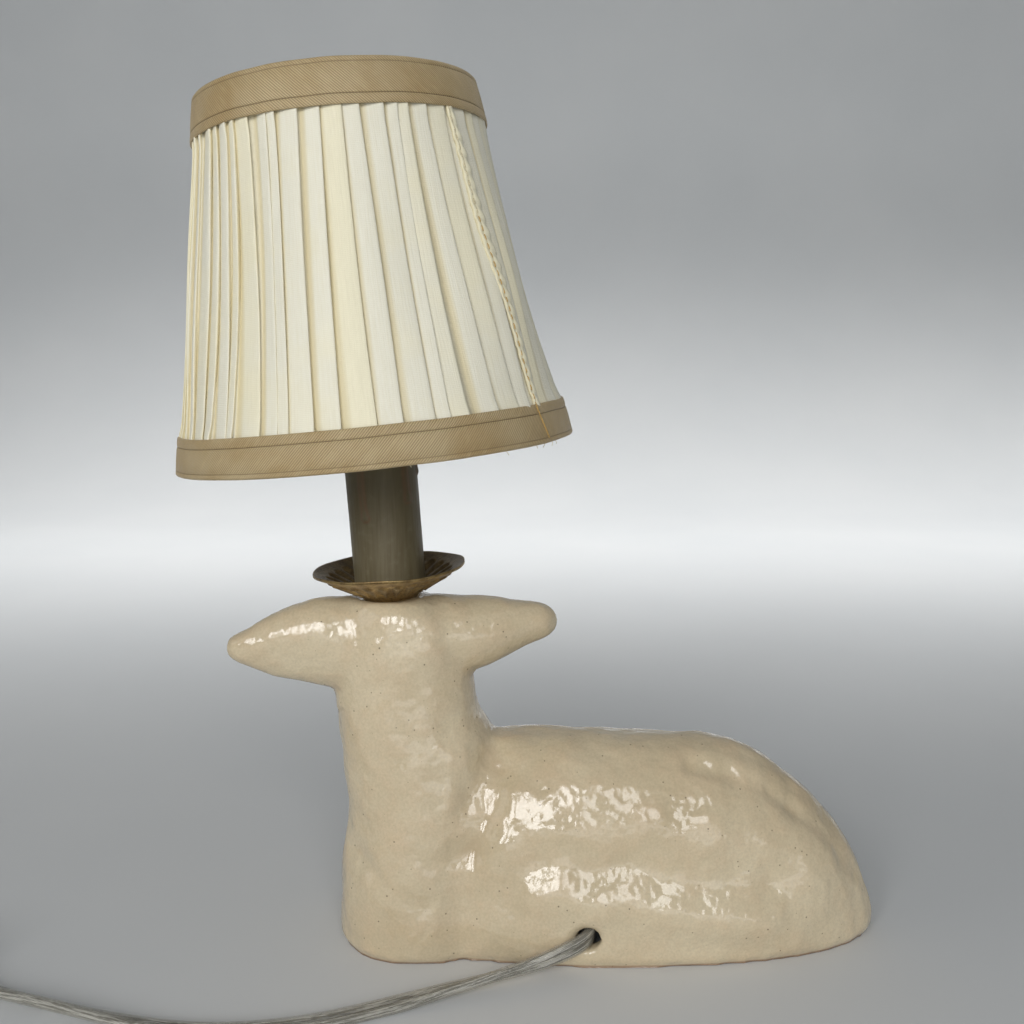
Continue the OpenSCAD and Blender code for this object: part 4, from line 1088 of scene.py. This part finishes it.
def drip_pan():
    """A pressed brass dish with teardrop flutes and a plain, slightly wavy flange."""
    flutes, per = 26, 12
    pan = within("drip_pan", STEM)
    rim_r = np.hypot(pan[:, 0], pan[:, 1]).max()
    rim_z = pan[:, 2].max()
    foot_r, bore, sheet = 8.6 * MM, 4.95 * MM, 1.0 * MM
    angles = np.arange(flutes * per) * TURN / (flutes * per)
    radii = np.r_[bore, 6 * MM, np.linspace(foot_r, rim_r - 0.5 * MM, 46)]

    def height(r):
        return (rim_z - sheet) * np.maximum((r - foot_r) / (rim_r - foot_r), 0) ** 0.8

    def pressed(r):
        inner, outer = 12.2 * MM, 21.0 * MM
        t = np.clip((r - inner) / (outer - inner), 0, 1)
        half = (0.25 + 2.1 * t) * MM * math.sqrt(max(0.0, 1 - max(0.0, (t - 0.72) / 0.28) ** 2))
        off = (np.mod(angles * flutes / TURN, 1) - 0.5) * TURN / flutes * r
        return 0.85 * MM * np.clip(1 - (off / max(half, 1e-6)) ** 2, 0, 1) * (0 < t < 1)

    def wave(r):
        amount = fade(r, 20 * MM, rim_r)
        return amount * (0.22 * np.sin(3 * angles + 1) + 0.14 * np.sin(7 * angles)) * MM

    def ring(r, z):
        return level_ring(r, angles, z)

    top = [ring(r, height(r) + sheet - pressed(r) + wave(r)) for r in radii]
    below = [ring(r, height(r) - pressed(r) * 0.9 + wave(r)) for r in radii[::-1]]
    lip = [ring(rim_r, height(rim_r) + sheet * u + wave(rim_r)) for u in (0.85, 0.5, 0.15)]
    rings = np.array([carried(r, STEM) for r in [*top, *lip, *below]])[:, ::-1]
    dish = skin("drip_pan_fluted", rings, MATERIALS["antique_brass"], loop=True)
    # Rubbed wear and painted light: a little brighter in the flutes, half bright on the lip with a painted
    # highlight, and brighter on the underside with painted reflected light, less on its flutes.
    inside = [0.10 * (pressed(r) > 0.2 * MM) * np.ones(len(angles)) for r in radii]
    under = [(0.60 - 0.35 * (pressed(r) > 0.3 * MM)) * np.ones(len(angles)) for r in radii[::-1]]
    attribute(dish, "wear_and_painted_highlight", np.concatenate([*inside, *[np.full(len(angles), 0.5)] * 3, *under]))
    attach(dish, "lamp")
    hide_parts("drip_pan")


def candle_sleeve():
    """A tube made to look like a candle, with wax that has run down it."""
    tube_points = within("candle_sleeve", STEM)
    low, high = tube_points[:, 2].min(), tube_points[:, 2].max()
    outer = np.hypot(tube_points[:, 0], tube_points[:, 1]).max() - 0.35 * MM
    bore = outer - 1.15 * MM
    angles = np.arange(144) * TURN / 144
    # Runs of wax: the angle they come down at, the height they stop at, and their width
    runs = [(-115, 27, 2.0), (-40, 32, 2.2), (-160, 44, 2.6), (-75, 52, 1.8), (-5, 40, 2.0),
            (35, 30, 2.4), (80, 46, 2.2), (120, 36, 2.0), (165, 50, 2.8), (-100, 60, 2.2)]

    def wax(z):
        out = np.zeros(len(angles))
        for degrees, stop, width in runs:
            off = np.angle(np.exp(1j * (angles - math.radians(degrees)))) * outer / MM
            off = off - 0.5 * math.sin(z / MM / 6 + degrees)
            above = z / MM - stop
            bead = 0.55 + 0.45 * math.exp(-((above - 1.6) / 1.6) ** 2)
            body = np.exp(-(off / (width * 0.5 * (0.8 + 0.4 * bead))) ** 2)
            out = np.maximum(out, bead * body * fade(above, -0.5, 1.2))
        return out

    def ring(r, z):
        return level_ring(r, angles, z)

    rings = []
    edge = 1.4 * MM
    for a in np.linspace(0, math.pi / 2, 6)[:-1]:
        rings.append(ring(outer - edge * (1 - math.sin(a)), low + edge * (1 - math.cos(a))))
    for z in np.linspace(low + edge, high - 0.5 * MM, 90):
        points = ring(outer, z)
        rough = 0.10 * MM * lumps(points * (1, 1, 0.3), 3 * MM, 6)
        rings.append(ring(outer + 0.62 * MM * wax(z) + rough, z))
    rings.append(ring(outer - 0.3 * MM, high))
    rings.append(ring(bore + 0.2 * MM, high))
    rings += [ring(bore, z) for z in np.linspace(high - 0.4 * MM, low + 0.3 * MM, 8)]
    sleeve = skin("wax_sleeve", np.array([carried(r, STEM) for r in rings]), MATERIALS["candle_resin"],
                  loop=True)
    runs_at = np.concatenate([wax(points[0, 2]) for points in rings])
    attribute(sleeve, "stain", 0.8 * np.exp(-((runs_at - 0.3) / 0.2) ** 2) * (runs_at > 0.04))
    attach(sleeve, "lamp")
    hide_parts("candle_sleeve")


# ---------------------------------------------------------------- plug

def oval_ring(x, middle_y, middle_z, half_y, half_z, power, count=64):
    """A rounded rectangle across the X axis."""
    a = np.arange(count) * TURN / count
    c, d = np.cos(a), np.sin(a)
    y = middle_y + half_y * np.sign(c) * np.abs(c) ** (2 / power)
    z = middle_z + half_z * np.sign(d) * np.abs(d) ** (2 / power)
    return np.stack([np.full(count, x), y, z], 1)


def plug():
    """A moulded plug with ribs to grip it by, and a stepped sleeve where the cord goes in."""
    low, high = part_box("plug_body")
    y, z = (low[1] + high[1]) / 2, (low[2] + high[2]) / 2
    half_y, half_z = (high[1] - low[1]) / 2, (high[2] - low[2]) / 2
    collar, collar_end = 4.2 * MM, low[0] + 5 * MM
    rings = []
    for x in np.linspace(low[0], collar_end, 11):
        dent = 0.35 * MM * (0.5 + 0.5 * math.cos((x - low[0]) / (1.6 * MM) * TURN))
        rings.append(oval_ring(x, y, z, collar - dent, collar - 0.6 * MM - dent, 2.2))
    for x in np.linspace(collar_end, high[0], 44):
        t = (x - collar_end) / (high[0] - collar_end)
        shoulder = fade(t, -0.03, 0.24)
        edge = 0.9 * MM * fade(t, 0.94, 1.0)
        rib = 0.45 * MM * max(0.0, math.sin(t * 4.5 * TURN)) * (0.25 < t < 0.72)
        wide = collar + (half_y - collar) * shoulder - edge
        tall = collar + (half_z - collar) * shoulder - edge
        rings.append(oval_ring(x, y, z, wide - rib, tall - 0.4 * rib, 2.2 + 3.3 * shoulder))
    body = skin("plug_moulding", np.array(rings)[:, ::-1], MATERIALS["clear_plastic"], cap=True)
    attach(body, "lamp")
    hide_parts("plug_body")
    return body


# ---------------------------------------------------------------- CAD pieces that stay

def bevel(node, width, segments=2):
    """Takes the sharp edge off a CAD piece."""
    change = frame["nodes"][node].modifiers.new("edges", "BEVEL")
    change.width = width
    change.segments = segments
    change.limit_method = "ANGLE"
    change.angle_limit = math.radians(40)


def dress_cad_pieces():
    """Each CAD piece that shows takes the material of its slot in the record."""
    slots = {part["node"]: part["material_slot"] for part in frame["record"]["subparts"]}
    for name, piece in frame["nodes"].items():
        material = MATERIALS[slots[name]]
        if not piece.material_slots:
            piece.data.materials.append(material)
        for held in piece.material_slots:
            held.material = material


make_floor()
make_lights()
make_cord()
make_figure()
pleated_cover()
lining()
seam()
band_stitches()
band("top_band", "shade_top_band", RIM_Z, -1, TOP_HEIGHT, 11)
band("bottom_band", "shade_bottom_band", SKIRT_Z, 1, BOTTOM_HEIGHT, 15)
drip_pan()
candle_sleeve()
dress_cad_pieces()
for shell in ("switch_lower_shell", "switch_upper_shell"):
    bevel(shell, 0.9 * MM, 3)
for part in ("upper_nut", "lower_nut", "coil_tie", "plug_blades", "socket_bracket", "switch_wheel"):
    bevel(part, 0.25 * MM)
